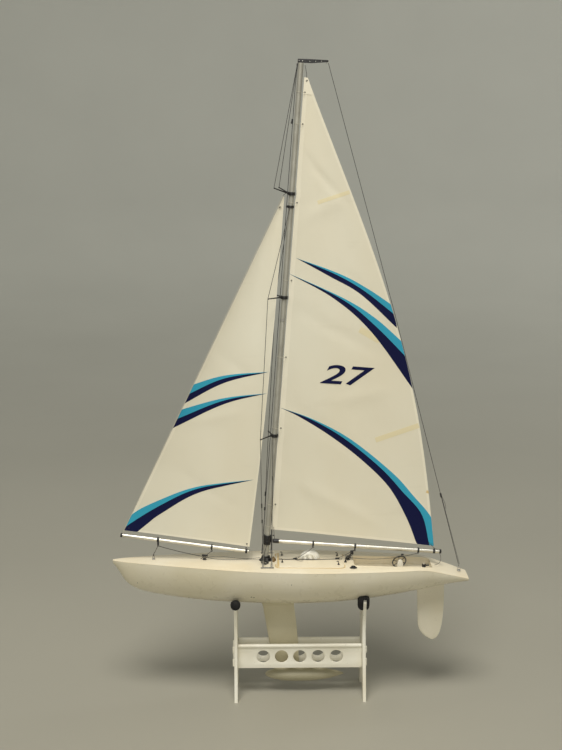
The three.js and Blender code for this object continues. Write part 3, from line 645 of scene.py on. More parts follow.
def make_hull():
    rows, count = 96, 48
    outer = [hull_row(x, 0, count) for x in along_hull(rows)]
    inner = [hull_row(x, 2, count) for x in along_hull(rows, -373, 384)]
    hull = Shape().skin([outside + inside[::-1] for outside, inside in zip(outer, inner)], caps=False)
    ring = 2 * (count + 1)
    for row, flip in ((0, 1), (rows, -1)):
        start = row * ring
        skin = [start + k for k in range(count + 1)]
        lining = [start + ring - 1 - k for k in range(count + 1)]
        end = [skin[0], lining[0], lining[-1], skin[-1]]
        hull.faces += [skin[::flip], lining[::-flip], end[::flip]]
    piece("hull", hull, "boat", hull_plastic, ["hull_shell"])
    make_hull_plugs()


def make_hull_plugs():
    """Small dark marks on the port side; a few sit on the bilge."""
    marks = Shape()
    for x, z, radius in ((-85.5, 236.5, 1.3), (-79.6, 236, 1.3), (1, 272, 0.9), (-334, 256, 1.1)):
        row = [Vector(p) for p in hull_row(x, 0, 200)[:100]]
        spot = min(row, key=lambda p: abs(p.z - z))
        outward = Vector((0, spot.y, spot.z - 285)).normalized()
        plug = [(0, -0.6), (radius, -0.6), (radius, 0.3), (radius * 0.7, 0.6), (0, 0.65)]
        marks.turned(plug, 16, aimed(spot, outward))
    piece("hull_plugs", marks, "boat", black_plastic)


def make_deck():
    rows = []
    for x in along_hull(110):
        beam, rim, _, _ = station(x)
        edge = min(0.9, beam * 0.2)
        widths = [(2 * k / 40 - 1) * (beam - edge) for k in range(41)]
        over = [(x, y, deck_top(x, y)) for y in widths]
        under = [(x, y, deck_top(x, y) - 1.6) for y in reversed(widths)]
        brow = [(x, beam, rim + 0.3), (x, beam, rim + 1.1), (x, beam - edge * 0.3, rim + 1.7)]
        rows.append([(x, -y, z) for x, y, z in brow] + over + brow[::-1] + under)
    plate_mesh = Shape().skin(rows).mesh("deck")
    hatchway = rounded_rectangle(HATCH["fore"] + 5, HATCH["aft"] - 5, 5 - HATCH["half"], HATCH["half"] - 5, 9)
    well = rounded_rectangle(WELL["fore"], WELL["aft"], -WELL["half"], WELL["half"], 10)
    deck = carve(plate_mesh, prism(hatchway, 280, 320).mesh("cut"), prism(well, 280, 320).mesh("cut"))
    piece("deck", deck, "boat", deck_plastic, ["deck_shell"], smooth=30)
    make_well(well)
    make_hatch()


def make_well(outline):
    sole = WELL["sole"]
    middle_x = (WELL["fore"] + WELL["aft"]) / 2

    def ring(inset, lift=None, height=None):
        row = []
        for x, y in outline:
            toward = Vector((middle_x - x, -y))
            px = x + inset * (1 if x < middle_x else -1) * min(1, abs(toward.x) / 8)
            py = y - inset * (1 if y > 0 else -1) * min(1, abs(y) / 8)
            row.append((px, py, height if height is not None else deck_top(px, py) + lift))
        return row

    inside = [ring(-2.2, 0.05), ring(-1.4, 0.7), ring(-0.2, 0.8), ring(0.4, 0.1), ring(0.5, height=sole + 3),
              ring(1.4, height=sole + 0.9), ring(3.4, height=sole)]
    outside = [ring(-1.4, height=sole - 1.6), ring(-1.4, -1.7), ring(-2.2, -0.4)]
    tub = Shape().skin(outside + inside).mesh("tub")
    slot = Shape().block((WELL["fore"] - 6, -22.5, 285), (WELL["fore"] + 6, -14.5, 290), edge=1).mesh("cut")
    piece("cockpit_well", carve(tub, slot), "boat", deck_plastic)


def make_hatch():
    fore, aft, half = HATCH["fore"], HATCH["aft"], HATCH["half"]
    profile = [(0.6, 0.35), (0, 0.6), (0, 1.2), (0.35, 1.6), (0.9, 1.7)]
    steps = [2.5 + 48 * k / 26 for k in range(27)]
    rows = []
    for inset, lift in profile + [(step, 1.7) for step in steps] + [(step, 0.35) for step in reversed(steps)]:
        corner = max(9 - inset, 0.5)
        outline = rounded_rectangle(fore + inset, aft - inset, inset - half, half - inset, corner)
        rows.append([(x, y, deck_top(x, y) + lift) for x, y in outline])
    piece("hatch_lid", Shape().skin(rows), "hatch", deck_plastic, ["hatch_cover"], smooth=30)
    make_hatch_seam(fore, aft, half)
    make_hatch_tape(fore, half)
    make_hatch_hooks()
    make_cowl(43, 10.5, deck_top(43, 0) + 2.1)


def make_hatch_seam(fore, aft, half):
    """Yellowed sealant round the lid; it stays on the deck."""
    rows = []
    for inset, lift in ((-2.4, 0), (-2.2, 0.3), (-0.6, 0.45), (-0.4, 0)):
        outline = rounded_rectangle(fore + inset * 1.6, aft - inset, inset - half, half - inset, 9 - inset)
        rows.append([(x, y, deck_top(x, y) + lift + 0.02) for x, y in outline])
    seam = Shape().skin(rows + [rows[0]], caps=False)
    piece("hatch_seam", seam, "boat", yellowed_glue, smooth=60)


def make_hatch_tape(fore, half):
    """A strip of old tape along the lid's fore edge."""
    count = 21
    shares = [0.94 * (2 * k / (count - 1) - 1) for k in range(count)]
    rows = []
    for x, lift in ((fore + 1.2, 1.72), (fore + 1.4, 2), (fore + 5, 2.05), (fore + 5.3, 1.72)):
        rows.append([(x, half * share, deck_top(x, half * share) + lift) for share in shares])
    tape = Shape().skin(rows + [rows[0]], ring=False, caps=False)
    first = [row * count for row in range(4)]
    last = [corner + count - 1 for corner in first]
    tape.faces += [first, last[:1] + last[:0:-1]]
    piece("hatch_tape", tape, "hatch", yellowed_glue, smooth=60)


def make_hatch_hooks():
    post = [(0, 0), (2.6, 0), (2.6, 0.8), (1.4, 1.4), (1.1, 3.6), (0, 3.6)]
    fittings = Shape()
    for x, y in ((-18, 32), (-18, -20), (104, 30), (104, -34)):
        top = deck_top(x, y) + 1.9
        fittings.turned(post, 20, at(x, y, top))
        hook = [(x, y, top + 3), (x, y, top + 6), (x - 2, y, top + 7.5), (x - 4, y, top + 6.5)]
        fittings.tube(spline_points(hook, 5), 0.8, 8)
    piece("hatch_hooks", fittings, "hatch", black_plastic)


def dome_rows(x, y, base, reach, steps=14):
    """Rings of half an ellipsoid, from its foot up to its crown."""
    a, b, c = reach
    rows = []
    for i in range(steps + 1):
        lift = QUARTER * i / steps
        level = math.cos(lift)
        height = base + c * math.sin(lift)
        rows.append([(x + a * level * math.cos(t), y + b * level * math.sin(t), height) for t in angles(48)])
    return rows


def make_cowl(x, y, base):
    """A thin half dome with an arched mouth to port."""
    shell = dome_rows(x, y, base, (22, 12, 19)) + dome_rows(x, y, base, (20.6, 10.6, 17.6))[::-1]
    cowl = Shape().skin(shell + [shell[0]], caps=False).mesh("cowl")
    arch = [(x + 18, base - 2)]
    for k in range(21):
        arch.append((x + 18 * math.cos(math.pi * k / 20), base + 10.5 * math.sin(math.pi * k / 20)))
    arch.append((x - 18, base - 2))
    mouth = Shape().skin([[(px, py, pz) for px, pz in arch] for py in (y - 29, y - 7)]).mesh("cut")
    piece("cowl", carve(cowl, mouth), "hatch", white_plastic, ["companion_cowl"])
    make_cowl_liner(x, y, base)


def make_cowl_liner(x, y, base):
    """The crumpled white sheet that fills the cowl's mouth."""
    rows = []
    for k in range(15):
        lift = 9.9 * k / 14
        reach = 17.2 * math.sqrt(max(0.02, 1 - (lift / 10.4) ** 2))
        front, back = [], []
        for j in range(41):
            px = x + reach * (j / 20 - 1)
            fold = 1.3 * math.sin(0.55 * px + 0.25 * lift) + 0.7 * math.sin(1.3 * px - 0.9 * lift)
            front.append((px, y - 10.4 + fold, base + 0.3 + lift))
            back.append((px, y - 9.2 + fold, base + 0.3 + lift))
        rows.append(front + back[::-1])
    piece("cowl_liner", Shape().skin(rows), "hatch", white_plastic, smooth=60)


# ---- Keel, ballast and rudder ---------------------------------------------------------------
def foil_row(lead, trail, thick, height, slope=0.0, points=20):
    """A foil section that starts at a height and may slope towards its trailing edge."""
    upper, lower = [], []
    for i in range(points + 1):
        u = (1 - math.cos(math.pi * i / points)) / 2
        y = thick / 2 * 2.6 * (math.sqrt(u) * (1 - u) + 0.12 * u * (1 - u)) + 0.35 * u
        x = lead + (trail - lead) * u
        z = height + (x - lead) * slope
        upper.append((x, y, z))
        if i:
            lower.append((x, -y, z))
    return upper + lower[::-1]


BULB_HEIGHT = 40


def keel_edges(z):
    """The fin's leading and trailing edges at a height."""
    return -62.5 + 0.168 * (208.6 - z), 18.5 - 12.5 * ((z - 48.6) / 160) ** 2


def make_keel():
    heights = [48.6 + 160 * i / 40 for i in range(41)]
    fin = Shape().skin([foil_row(*keel_edges(z), 7, z) for z in heights])
    # The fin and its gasket take the darker keel plastic, painted shade for the hull's shadow.
    piece("fin", fin, "boat", keel_plastic_painted_shade, ["keel_fin"])
    rows = []
    for z, out in ((199, 0.2), (200, 0.9), (206.5, 1.5), (208, 2.2)):
        lead, trail = keel_edges(z)
        rows.append(foil_row(lead - out, trail + out, 7 + 2.4 * out, z))
    piece("keel_root_gasket", Shape().skin(rows), "boat", keel_plastic_painted_shade)


def make_bulb():
    nose, length, radius = -56, 174, 15.8
    profile = []
    for i in range(61):
        u = (1 - math.cos(math.pi * i / 60)) / 2
        share = min(1, 2.25 * math.sqrt(u) * (1 - u) ** 0.8 * (1 + 0.28 * u))
        profile.append((radius * share, length * u))
    bulb = Shape().turned(profile, 64, at(nose, 0, BULB_HEIGHT) @ LYING)
    piece("bulb", bulb, "boat", ballast_paint, ["keel_bulb"], smooth=60)
    seam = [(nose + along, -reach - 0.05, BULB_HEIGHT) for reach, along in profile[2:56]]
    join = Shape().tube(seam, 0.22, 6)
    join.tube([(x, -y, z) for x, y, z in seam], 0.22, 6)
    join.screw((-20, -0.1, 24.6), (0, 0, -1), 2)
    piece("bulb_seam", join, "boat", ballast_paint)


def quadratic(a, b, c, steps):
    """Points along a quadratic curve from a to c, without the first."""
    points = []
    for k in range(1, steps + 1):
        t = k / steps
        points.append(tuple(p * (1 - t) ** 2 + 2 * q * t * (1 - t) + r * t * t for p, q, r in zip(a, b, c)))
    return points


def make_rudder():
    lead = [(313, 117.5)] + quadratic((313, 117.5), (283, 128), (281.2, 158), 28)
    lead += [mix((281.2, 158), (279, 233.5), k / 16) for k in range(1, 17)]
    trail = [(313, 117.5)] + quadratic((313, 117.5), (327, 117.5), (333, 146), 22)
    trail += quadratic((333, 146), (339.5, 176), (338, 244), 22)
    rows = []
    for i, ((x0, z0), (x1, z1)) in enumerate(zip(lead, trail)):
        chord = max(x1 - x0, 0.5)
        slope = (z1 - z0) / chord
        thick = 5 * min(1, 0.25 + 0.75 * math.sqrt(i / 14))
        rows.append(foil_row(x0, x0 + chord, thick, z0, slope))
    blade = Shape().skin(rows)
    blade.tube([(RUDDER_X, 0, 225), (RUDDER_X, 0, 292.5)], 2, 20)
    piece("rudder", blade, "rudder", foil_plastic, ["rudder_blade"])


def make_tiller(z):
    hub = [(2.2, z), (4.5, z), (4.5, z + 5.4), (4, z + 6), (2.2, z + 6), (2.2, z)]
    arm = Shape().turned(hub, 32, at(RUDDER_X))
    outline = [(-2, -4), (-1.6, -20), (-1.3, -21.6), (0, -22.5), (1.3, -21.6), (1.6, -20), (2, -4)]
    arm.skin([[(RUDDER_X + x, y, height) for x, y in outline] for height in (z, z + 2)])
    arm.turned([(0.8, z + 1), (0.8, z + 5.8), (0, z + 6)], 16, at(RUDDER_X, -20))
    arm.block((RUDDER_X, -1.4, z + 1.6), (RUDDER_X + 11.5, 1.4, z + 4.4), edge=0.5)
    arm.screw((RUDDER_X, 4.4, z + 3), (0, 1, 0), 1.2)
    piece("tiller", arm, "rudder", black_plastic, ["tiller_arm"])


def make_steering_rod(z):
    eye_profile = [(1.2, z), (2.4, z), (2.4, z + 1.6), (1.2, z + 1.6), (1.2, z)]
    rod = Shape()
    for x in (RUDDER_X, 90):
        rod.turned(eye_profile, 24, at(x, -20))
    rod.tube([(RUDDER_X - 1.4, -20, z + 0.8), (91.4, -20, z + 0.8)], 0.8, 12)
    rod.tube([(RUDDER_X - 3, -20, z + 0.8), (RUDDER_X - 16, -20, z + 0.8)], 1.5, 14)
    piece("steering_rod", rod, "pushrod", steel, ["rudder_pushrod"])


def make_rudder_bearing():
    bearing = [(4, 240.5), (4, 283), (3.6, 283.5), (2.3, 283.5), (2.3, 240.5), (4, 240.5)]
    piece("rudder_bearing", Shape().turned(bearing, 32, at(RUDDER_X)), "boat", steel, ["rudder_tube"])


# ---- Deck fittings --------------------------------------------------------------------------
def seat(x, y, radius):
    corners = ((-1, -1), (-1, 1), (1, -1), (1, 1), (0, 0))
    return max(deck_top(x + radius * dx, y + radius * dy) for dx, dy in corners) + 0.3


def eye(name, node, x, y, radius, look):
    foot = radius + 1.2
    z = seat(x, y, foot)
    profile = [(0, z), (foot, z), (foot, z + 0.7), (foot - 0.7, z + 1.5), (1.6, z + 1.9), (0, z + 1.9)]
    base = Shape().turned(profile, 28, at(x, y))
    base.ring((x, y, z + 2 + radius), (0, 1, 0), radius, 0.75)
    base.ring((x, y, z + 2.6), (0, 0, 1), 1.5, 0.4)
    piece(name, base, "boat", look, [node])


def make_eyes():
    eye("jib_swivel_eye", "jib_pivot_eye", -299, 0, 2.4, steel)
    eye("jib_fairlead", "jib_sheet_eye", -188, 0, 3, black_plastic)
    eye("sheet_fairlead", "main_sheet_eye", 127, 6, 3, black_plastic)
    eye("backstay_eye", "stern_eye", STERN_EYE_X, 0, 3, steel)


def make_mast_step():
    x, y, z = MAST_FOOT.x, 0, seat(MAST_FOOT.x, 0, 10)
    profile = [(0, 0), (14.5, 0), (14.5, 1.1), (13.8, 1.6), (11, 1.9), (10.8, 5), (9.4, 6.2), (9.2, 9.4),
               (8.6, 10), (6.6, 10), (6.6, 1.2), (0, 1.2)]
    step = Shape().turned(profile, 48, at(x, y, z))
    for k in range(4):
        angle = math.radians(45 + 90 * k)
        step.screw((x + 12.4 * math.cos(angle), 12.4 * math.sin(angle), z + 1.7), (0, 0, 1), 1.3)
    for side in (-1, 1):
        step.block((x - 3, side * 9 - 1, z + 2), (x + 3, side * 9 + 1, z + 6), edge=0.4)
    piece("mast_base", step, "boat", black_plastic, ["mast_step"])


def make_switch():
    x, y = 135, -51
    z = seat(x, y, 6)
    shape = [(0, 0), (8, 0), (8, 0.7), (7.2, 1.3), (5.6, 1.6), (5, 2.6), (5.4, 3.1), (4.6, 3.7), (4.2, 4.4),
             (0, 4.5)]
    boot = Shape().turned(shape, 40, at(x, y, z) @ Matrix.Diagonal((1, 0.7, 1, 1)))
    piece("switch_cover", boot, "boat", boot_rubber, ["switch_boot"])


def make_helm():
    """The wheel's square pedestal, and a flat white post to port of it."""
    z = WELL["sole"] + 0.3
    profile = [(0, 0), (7.4, 0), (7.2, 0.8), (5.6, 3), (4.5, 7.8), (4, 8.5), (0, 8.5)]
    post = Shape().turned(profile, 4, at(242, 6, z) @ Matrix.Rotation(math.pi / 4, 4, "Z"))
    piece("wheel_pedestal", post, "boat", white_plastic, ["helm_pedestal"], smooth=25)
    edge = [(6.8, 0), (6.4, 12), (5.4, 19), (3.8, 22.2), (1.4, 23.6)]
    outline = [(-6.8, 0)] + edge + [(-x, height) for x, height in edge[:0:-1]]
    piece("helm_post", plate(outline, 2, 0.6, (), at(239.5, -14.9, z) @ STANDING), "boat", white_plastic)


def make_wheel():
    radius = 15.2
    place = aimed((239, 1.5, 296), Vector((-0.34, -0.45, 0.825)).normalized())
    rim = [(radius * math.cos(a), radius * math.sin(a), 0) for a in angles(64)]
    wheel = Shape().tube(rim, 1.3, 14, place, True)
    wheel.turned([(0, -1.2), (2.8, -1.2), (2.8, 0.9), (2, 1.7), (0, 1.9)], 28, place)
    for a in angles(6):
        spoke = [(r * math.cos(a), r * math.sin(a), 0) for r in (1.5, 5, 10, 15)]
        wheel.tube(spoke, [0.75, 0.6, 0.75, 0.6], 10, place)
    piece("ships_wheel", wheel, "helm", black_plastic, ["steering_wheel"])


def make_chainplates():
    for side, sign in SIDES.items():
        y = SHROUD_Y * sign
        z = max(seat(-62, y, 3), seat(-39.7, y, 3))
        strap = Shape()
        strap.block((-65, y - 3, z), (-36.7, y + 3, z + 1.2), edge=0.4)
        for x in (-60, -41.7):
            strap.block((x - 2, y - 0.7, z + 0.8), (x + 2, y + 0.7, z + 6), edge=0.4)
            strap.ring((x, y, z + 5.4), (0, 1, 0), 1.9, 0.5)
        for x in (-55, -47):
            strap.screw((x, y, z + 1.2), radius=1.4)
        piece(f"chainplate_strap_{side}", strap, "boat", steel, [f"chainplate_{side}"])


def make_halyard_bundle():
    """Loose turns of line on the deck beside the mast, with one end going up the mast."""
    x, y = -56, -24
    base = deck_top(x, y) + 1.7
    bundle = Shape()
    for k in range(6):
        loop = []
        for a in angles(30):
            reach = 7.4 + 0.9 * math.sin(3 * a + k) - 0.35 * k
            height = base + 1.6 * k + 0.7 * math.sin(2 * a + 1.7 * k)
            loop.append((x + reach * math.cos(a), y + 1.15 * reach * math.sin(a), height))
        bundle.tube(loop, 0.95, 8, loop=True)
    end = [(-56, -16, 309), (-57, -12, 312), (-56.5, -9.5, 320), (-52, -8.6, 338)]
    bundle.tube(spline_points(end, 6), 0.6, 8)
    bowsie(bundle, (-60, -31, deck_top(-60, -31) + 6), (0.5, -0.6, -0.2), 10)
    piece("halyard_bundle", bundle, "boat", rigging_cord)


def make_glue_smear():
    """A lump of old glue aft of the mast."""
    rows = []
    for k in range(11):
        share = k / 10
        row = []
        for a in angles(28):
            ripple = 6.4 + 0.8 * math.sin(3 * a + 4 * share) + 0.5 * math.sin(5 * a + 1)
            reach = math.sqrt(1 - share ** 2) * ripple
            x, y = -37.5 + reach * 0.85 * math.cos(a), -4 + reach * 1.5 * math.sin(a)
            lump = 8.5 * share * (1 + 0.12 * math.sin(2 * a))
            row.append((x, y, deck_top(x, y) + 0.05 + lump))
        rows.append(row)
    piece("glue_smear", Shape().skin(rows), "boat", dried_glue)


# ---- Mast and standing rigging --------------------------------------------------------------
def pipe(bore, outer, start, end):
    """The profile of a pipe along its axis, with its outer edges eased."""
    edge = 0.3
    return [(bore, start), (outer - edge, start), (outer, start + edge),
            (outer, end - edge), (outer - edge, end), (bore, end), (bore, start)]


def rig_piece(name, look, node, profile):
    """A round part on the mast's own axis."""
    return piece(name, Shape().turned(profile, 48, RIG), "boat", look, [node])


def spreader_tip(height, sweep, half, rise, side, out=2.2):
    tip = Vector((-sweep, side * (half + out), height + rise))
    tip.rotate(Matrix.Rotation(SPREADER_TURN, 3, "Z"))
    return on_rig(*tip)


def make_mast():
    for half, start, end in (("lower", 1.4, MAST_JOINT), ("upper", MAST_JOINT + 4.3, MAST_TOP)):
        profile = pipe(4.3, MAST_R, start, end)
        rig_piece(f"mast_tube_{half}", mast_metal, f"mast_{half}", profile)
    dress(steel, "mast_joiner")
    clamp = Shape().turned(pipe(MAST_R + 0.05, MAST_R + 1.6, 767, 772.5), 40, RIG)
    clamp.block((-MAST_R - 4.5, -2, 767.5), (-MAST_R - 1, 2, 772), RIG, 0.4)
    piece("mast_clamp", clamp, "boat", black_plastic)


def make_crane():
    outline = [(-7, 7.5), (-7, 0), (8, 0), (22, 0.4), (55, 4.8), (56.4, 5.8), (56.6, 7.2), (56, 8.9),
               (22, 8.6), (4, 8.1)]
    flat = RIG @ at(0, 0, MAST_TOP + 0.3) @ STANDING
    holes = [circle(x, 4 + (x - 18) * 0.08, 1.1, 16) for x in (18, 30, 42)]
    crane = plate(outline, 4, 0.5, holes, flat)
    piece("crane", crane, "boat", black_plastic, ["masthead_crane"])
    hardware = Shape()
    for x, height in ((54.6, MAST_TOP + 3.2), (-5, MAST_TOP - 1.4)):
        hardware.ring(on_rig(x, 0, height), (0, 1, 0), 2, 0.45)
    hardware.screw(on_rig(3, -2.1, MAST_TOP + 4), (0, -1, 0), 1.4)
    hardware.screw(on_rig(-4, -2.1, MAST_TOP + 4), (0, -1, 0), 1.2)
    piece("crane_shackles", hardware, "boat", steel)


def make_spreaders():
    for name, (height, sweep, half, rise) in SPREADERS.items():
        shape = Shape()
        collar = pipe(MAST_R + 0.3, MAST_R + 2.2, height - 3.5, height + 3.5)
        shape.turned(collar, 40, RIG)
        for side in (-1, 1):
            root = Vector((-MAST_R - 0.6, side * 3.6, height))
            tip = Vector((-sweep, side * half, height + rise))
            for point in (root, tip):
                point.rotate(Matrix.Rotation(SPREADER_TURN, 3, "Z"))
            path = [root.lerp(tip, t) for t in (0, 0.06, 0.5, 0.94, 0.97, 1)]
            shape.tube([RIG @ p for p in path], [1.9, 1.6, 1.35, 1.1, 1.5, 1.4], 16)
            shape.screw(on_rig(0, side * (MAST_R + 2.1), height), (0, side, 0), 1.1)
        piece(f"spreader_{name}", shape, "boat", black_plastic, [f"{name}_spreader"])


def wire(name, points, node=(), radius=0.6, body="boat", look=None, between=None, sides=10):
    shape = Shape().tube(points, radius, sides)
    return piece(name, shape, body, look or rigging_cord, node, between=between)


def bowsie(shape, point, along, length=9.0):
    """A line adjuster: a slim oval slip with three holes, threaded on its line."""
    along = Vector(along).normalized()
    place = aimed(point, along, "X")
    shape.block((-length / 2, -1.9, -0.9), (length / 2, 1.9, 0.9), place, 0.6)
    upward = place.to_3x3() @ Vector((0, 0, 1))
    for k in (-1, 0, 1):
        shape.ring(place @ Vector((k * length * 0.3, 0, 0.85)), upward, 0.8, 0.25, 6, 14)


def make_standing_rigging():
    adjusters = Shape()
    hooks = Shape()
    make_shrouds(adjusters, hooks)
    make_jumper_stays()
    make_mast_hoist(adjusters, hooks)
    make_backstay(adjusters)
    piece("bowsies", adjusters, "boat", black_plastic)
    piece("shroud_hooks", hooks, "boat", steel)


def make_shrouds(adjusters, hooks):
    """Each lower end is doubled back through its adjuster and hooked to the chainplate."""
    for side, sign in SIDES.items():
        y = SHROUD_Y * sign
        upper = [Vector((-60, y, deck_top(-60, 0) + 6.5)), spreader_tip(*SPREADERS["lower"], sign),
                 spreader_tip(*SPREADERS["upper"], sign), on_rig(-2, sign * (MAST_R + 3), 768)]
        lower = [Vector((-41.7, y, deck_top(-41.7, 0) + 6.5)), on_rig(-3, sign * (MAST_R + 4), 271)]
        wire(f"upper_shroud_line_{side}", upper, [f"upper_shroud_{side}"])
        wire(f"lower_shroud_line_{side}", lower, [f"lower_shroud_{side}"])
        for ends, share, length in ((upper[:2], 0.475, 10), (upper[:2], 0.35, 8), (lower, 0.69, 9)):
            spot = ends[0].lerp(ends[1], share)
            bowsie(adjusters, spot, ends[1] - ends[0], length)
            doubled = [ends[0] + Vector((1.6, 0, 0)), spot + Vector((1.6, 0, -1))]
            hooks.tube(doubled, 0.4, 8)
        for foot in (upper[0], lower[0]):
            hooks.ring(foot + Vector((0, 0, 1.5)), (0, 1, 0), 1.8, 0.45)
            hooks.tube([foot + Vector((0, 0, 3)), foot + Vector((0, 0, 9))], 1.0, 10)


def make_jumper_stays():
    lug = on_rig(-MAST_R - 2, 0, MAST_TOP - 5)
    stays = Shape()
    for sign in (-1, 1):
        stays.tube([lug, spreader_tip(*SPREADERS["jumper"], sign)], 0.6, 10)
    stays.turned([(0, -3), (1.2, -3), (1.2, 3), (0, 3)], 16, at(*lug))
    piece("jumper_stay_lines", stays, "boat", rigging_cord, ["jumper_stays"])


def make_mast_hoist(adjusters, hooks):
    """The line that runs down the fore side of the mast."""
    path = [(-6.4, -1.6, MAST_TOP - 1), (-8.4, -2.2, 1020), (-8.9, -2.4, 700), (-8.9, -2.4, 300),
            (-9.6, -3, 60), (-10, -6, 14)]
    wire("mast_hoist", [on_rig(*point) for point in path], radius=0.7)
    bowsie(adjusters, on_rig(-9.6, -3.2, 946), (0.12, 0, 1), 10)
    hooks.tube([on_rig(-9.6, -3.2, 951), on_rig(-14, -3.6, 940)], 0.5, 8)


def make_backstay(adjusters):
    foot = Vector((STERN_EYE_X - 1, 0, deck_top(STERN_EYE_X, 0) + 16))
    top = on_rig(56.5, 0, MAST_TOP + 3.4)
    middle = Vector(((foot.x + top.x) / 2 + 3, 0, (foot.z + top.z) / 2))
    wire("backstay_line", [foot, middle, top], ["backstay"])
    slip = foot.lerp(middle, 0.29)
    bowsie(adjusters, slip, middle - foot, 10)
    tail = Shape().tube([foot + Vector((2.2, 0, 0)), slip + Vector((2, 0, -4)), slip], 0.45, 8)
    loose = [slip, slip + Vector((4, -1, -6)), slip + Vector((9, -2, -18)), slip + Vector((11, -3, -30))]
    tail.tube(spline_points(loose, 6), 0.45, 8)
    tail.tube([foot + Vector((0, 0, -1)), Vector((STERN_EYE_X, 0, deck_top(STERN_EYE_X, 0) + 7))], 0.5, 8)
    piece("backstay_tail", tail, "boat", rigging_cord)


# ---- Sails ----------------------------------------------------------------------------------
# Soft folds left by storage: from (u, v) to (u, v), and how far each stands out.
MAIN_FOLDS = (
    ((0.15, 0.84), (0.85, 0.75), 1.5), ((0.1, 0.7), (0.9, 0.76), -1.1), ((0.1, 0.5), (0.8, 0.42), 1.2),
    ((0.05, 0.3), (0.6, 0.18), 1.3), ((0.1, 0.12), (0.7, 0.03), -1.5), ((0.35, 0.3), (0.8, 0.34), -1.1),
    ((0.05, 0.16), (0.3, 0.02), 1.4), ((0.55, 0.6), (0.95, 0.52), 1.1),
)
JIB_FOLDS = (
    ((0.1, 0.55), (0.8, 0.48), 0.9), ((0.2, 0.2), (0.9, 0.1), 1.0), ((0.15, 0.34), (0.7, 0.38), -0.8),
)


class Sail:
    """A sail's surface between its luff and leech, each a function of the height share v."""

    def __init__(self, luff, leech, belly, place, folds):
        self.luff = luff
        self.leech = leech
        self.belly = belly
        self.place = place
        self.folds = folds

    def row(self, v):
        return Vector(self.luff(v)), Vector(self.leech(v))

    def depth(self, u, v):
        """How far the cloth stands off its plane: belly, tied luff, loose leech and creases."""
        u, v = min(max(u, 0), 1), min(max(v, 0), 1)
        full = self.belly * math.sin(math.pi * u ** 0.8) * math.sin(math.pi * (0.12 + 0.88 * v))
        scallop = 0.8 * math.exp(-9 * u) * math.sin(2 * math.pi * v * 7) * (1 - v)
        flutter = 0.9 * u ** 5 * math.sin(17 * v + 1) * math.sin(math.pi * v)
        creases = 0.45 * math.sin(31 * v + 9 * u) * math.sin(math.pi * u) * (1 - v) ** 0.5
        for start, end, height in self.folds:
            along = Vector((end[0] - start[0], (end[1] - start[1]) * 3))
            reach = Vector((u - start[0], (v - start[1]) * 3))
            share = min(max(reach.dot(along) / along.length_squared, 0), 1)
            away = (reach - along * share).length
            creases += height * math.exp(-(away / 0.045) ** 2) * math.sin(math.pi * (0.1 + 0.8 * share))
        return full + scallop + flutter + creases

    def at(self, u, v, off=0.0):
        a, b = self.row(v)
        spot = a.lerp(b, u)
        return self.place @ Vector((spot.x, self.depth(u, v) + off, spot.y))

    def shares(self, x, height):
        """The (u, v) of a point given in the sail's own plane, kept on the sail."""
        v = 0.5
        for _ in range(12):
            a, b = self.row(v)
            u = (x - a.x) / max(b.x - a.x, 1e-3)
            u = min(max(u, 0.0), 1.0)
            v += (height - a.lerp(b, u).y) / (self.luff(1)[1] - self.luff(0)[1])
            v = min(max(v, 0.0), 1.0)
        return u, v

    def sheet(self, name, node, body, look, rows=130, columns=44, thick=0.35):
        front, back = [], []
        for i in range(rows + 1):
            u_steps = [j / columns for j in range(columns + 1)]
            front.append([self.at(u, i / rows, -thick / 2) for u in u_steps])
            back.append([self.at(u, i / rows, thick / 2) for u in u_steps])
        shape = Shape().skin([f + b[::-1] for f, b in zip(front, back)])
        return piece(name, shape, body, look, [node], smooth=60)

    def film(self, name, edge_a, edge_b, body, look, thick=0.8, steps=60, across=4):
        """A thin layer through the sail between two edges, so that it shows on both faces."""
        front, back = [], []
        for i in range(steps + 1):
            a, b = Vector(edge_a(i / steps)), Vector(edge_b(i / steps))
            row = [self.shares(*a.lerp(b, j / across)) for j in range(across + 1)]
            front.append([self.at(u, v, -thick / 2) for u, v in row])
            back.append([self.at(u, v, thick / 2) for u, v in row])
        shape = Shape().skin([f + b[::-1] for f, b in zip(front, back)])
        return piece(name, shape, body, look, smooth=60)

    def area(self, rows=80, columns=24):
        grid = [[self.at(j / columns, i / rows) for j in range(columns + 1)] for i in range(rows + 1)]
        total = 0
        for below, above in zip(grid, grid[1:]):
            for a, b, c, d in zip(below, below[1:], above[1:], above):
                total += (c - a).cross(d - b).length / 2
        return total * MM * MM


def mix(a, b, t):
    return (a[0] + (b[0] - a[0]) * t, a[1] + (b[1] - a[1]) * t)


def curve_at(points, t):
    """A point on the smooth curve through 2-D points, t from 0 to 1."""
    steps = 24
    path = spline_points([(x, y, 0) for x, y in points], steps)
    where = t * (len(path) - 1)
    i = min(int(where), len(path) - 2)
    spot = path[i].lerp(path[i + 1], where - i)
    return spot.x, spot.y


def swoosh(sail, name, body, upper, lower, split):
    """Two tapering stripes from one tip, turquoise above and navy below.

    The last points of the line that parts them are given in split.
    """
    count = len(upper)
    line = []
    for i, (above, below) in enumerate(zip(upper, lower)):
        line.append(mix(above, below, 0.15 + 0.36 * (i / (count - 1)) ** 0.6))
    line[count - len(split):] = split

    def parting(t):
        return curve_at(line, t)

    blue = sail.film(f"{name}_turquoise", lambda t: curve_at(upper, t), parting, body, blue_film)
    navy = sail.film(f"{name}_navy", parting, lambda t: curve_at(lower, t), body, navy_film)
    return [blue, navy]


def strip(sail, name, body, start, end, width, look, thick=0.7):
    a, b = Vector(start), Vector(end)
    across = Vector((a.y - b.y, b.x - a.x)).normalized() * width / 2

    def edge(side):
        return lambda t: a.lerp(b, t) + across * side

    return sail.film(name, edge(1), edge(-1), body, look, thick, 16, 2)


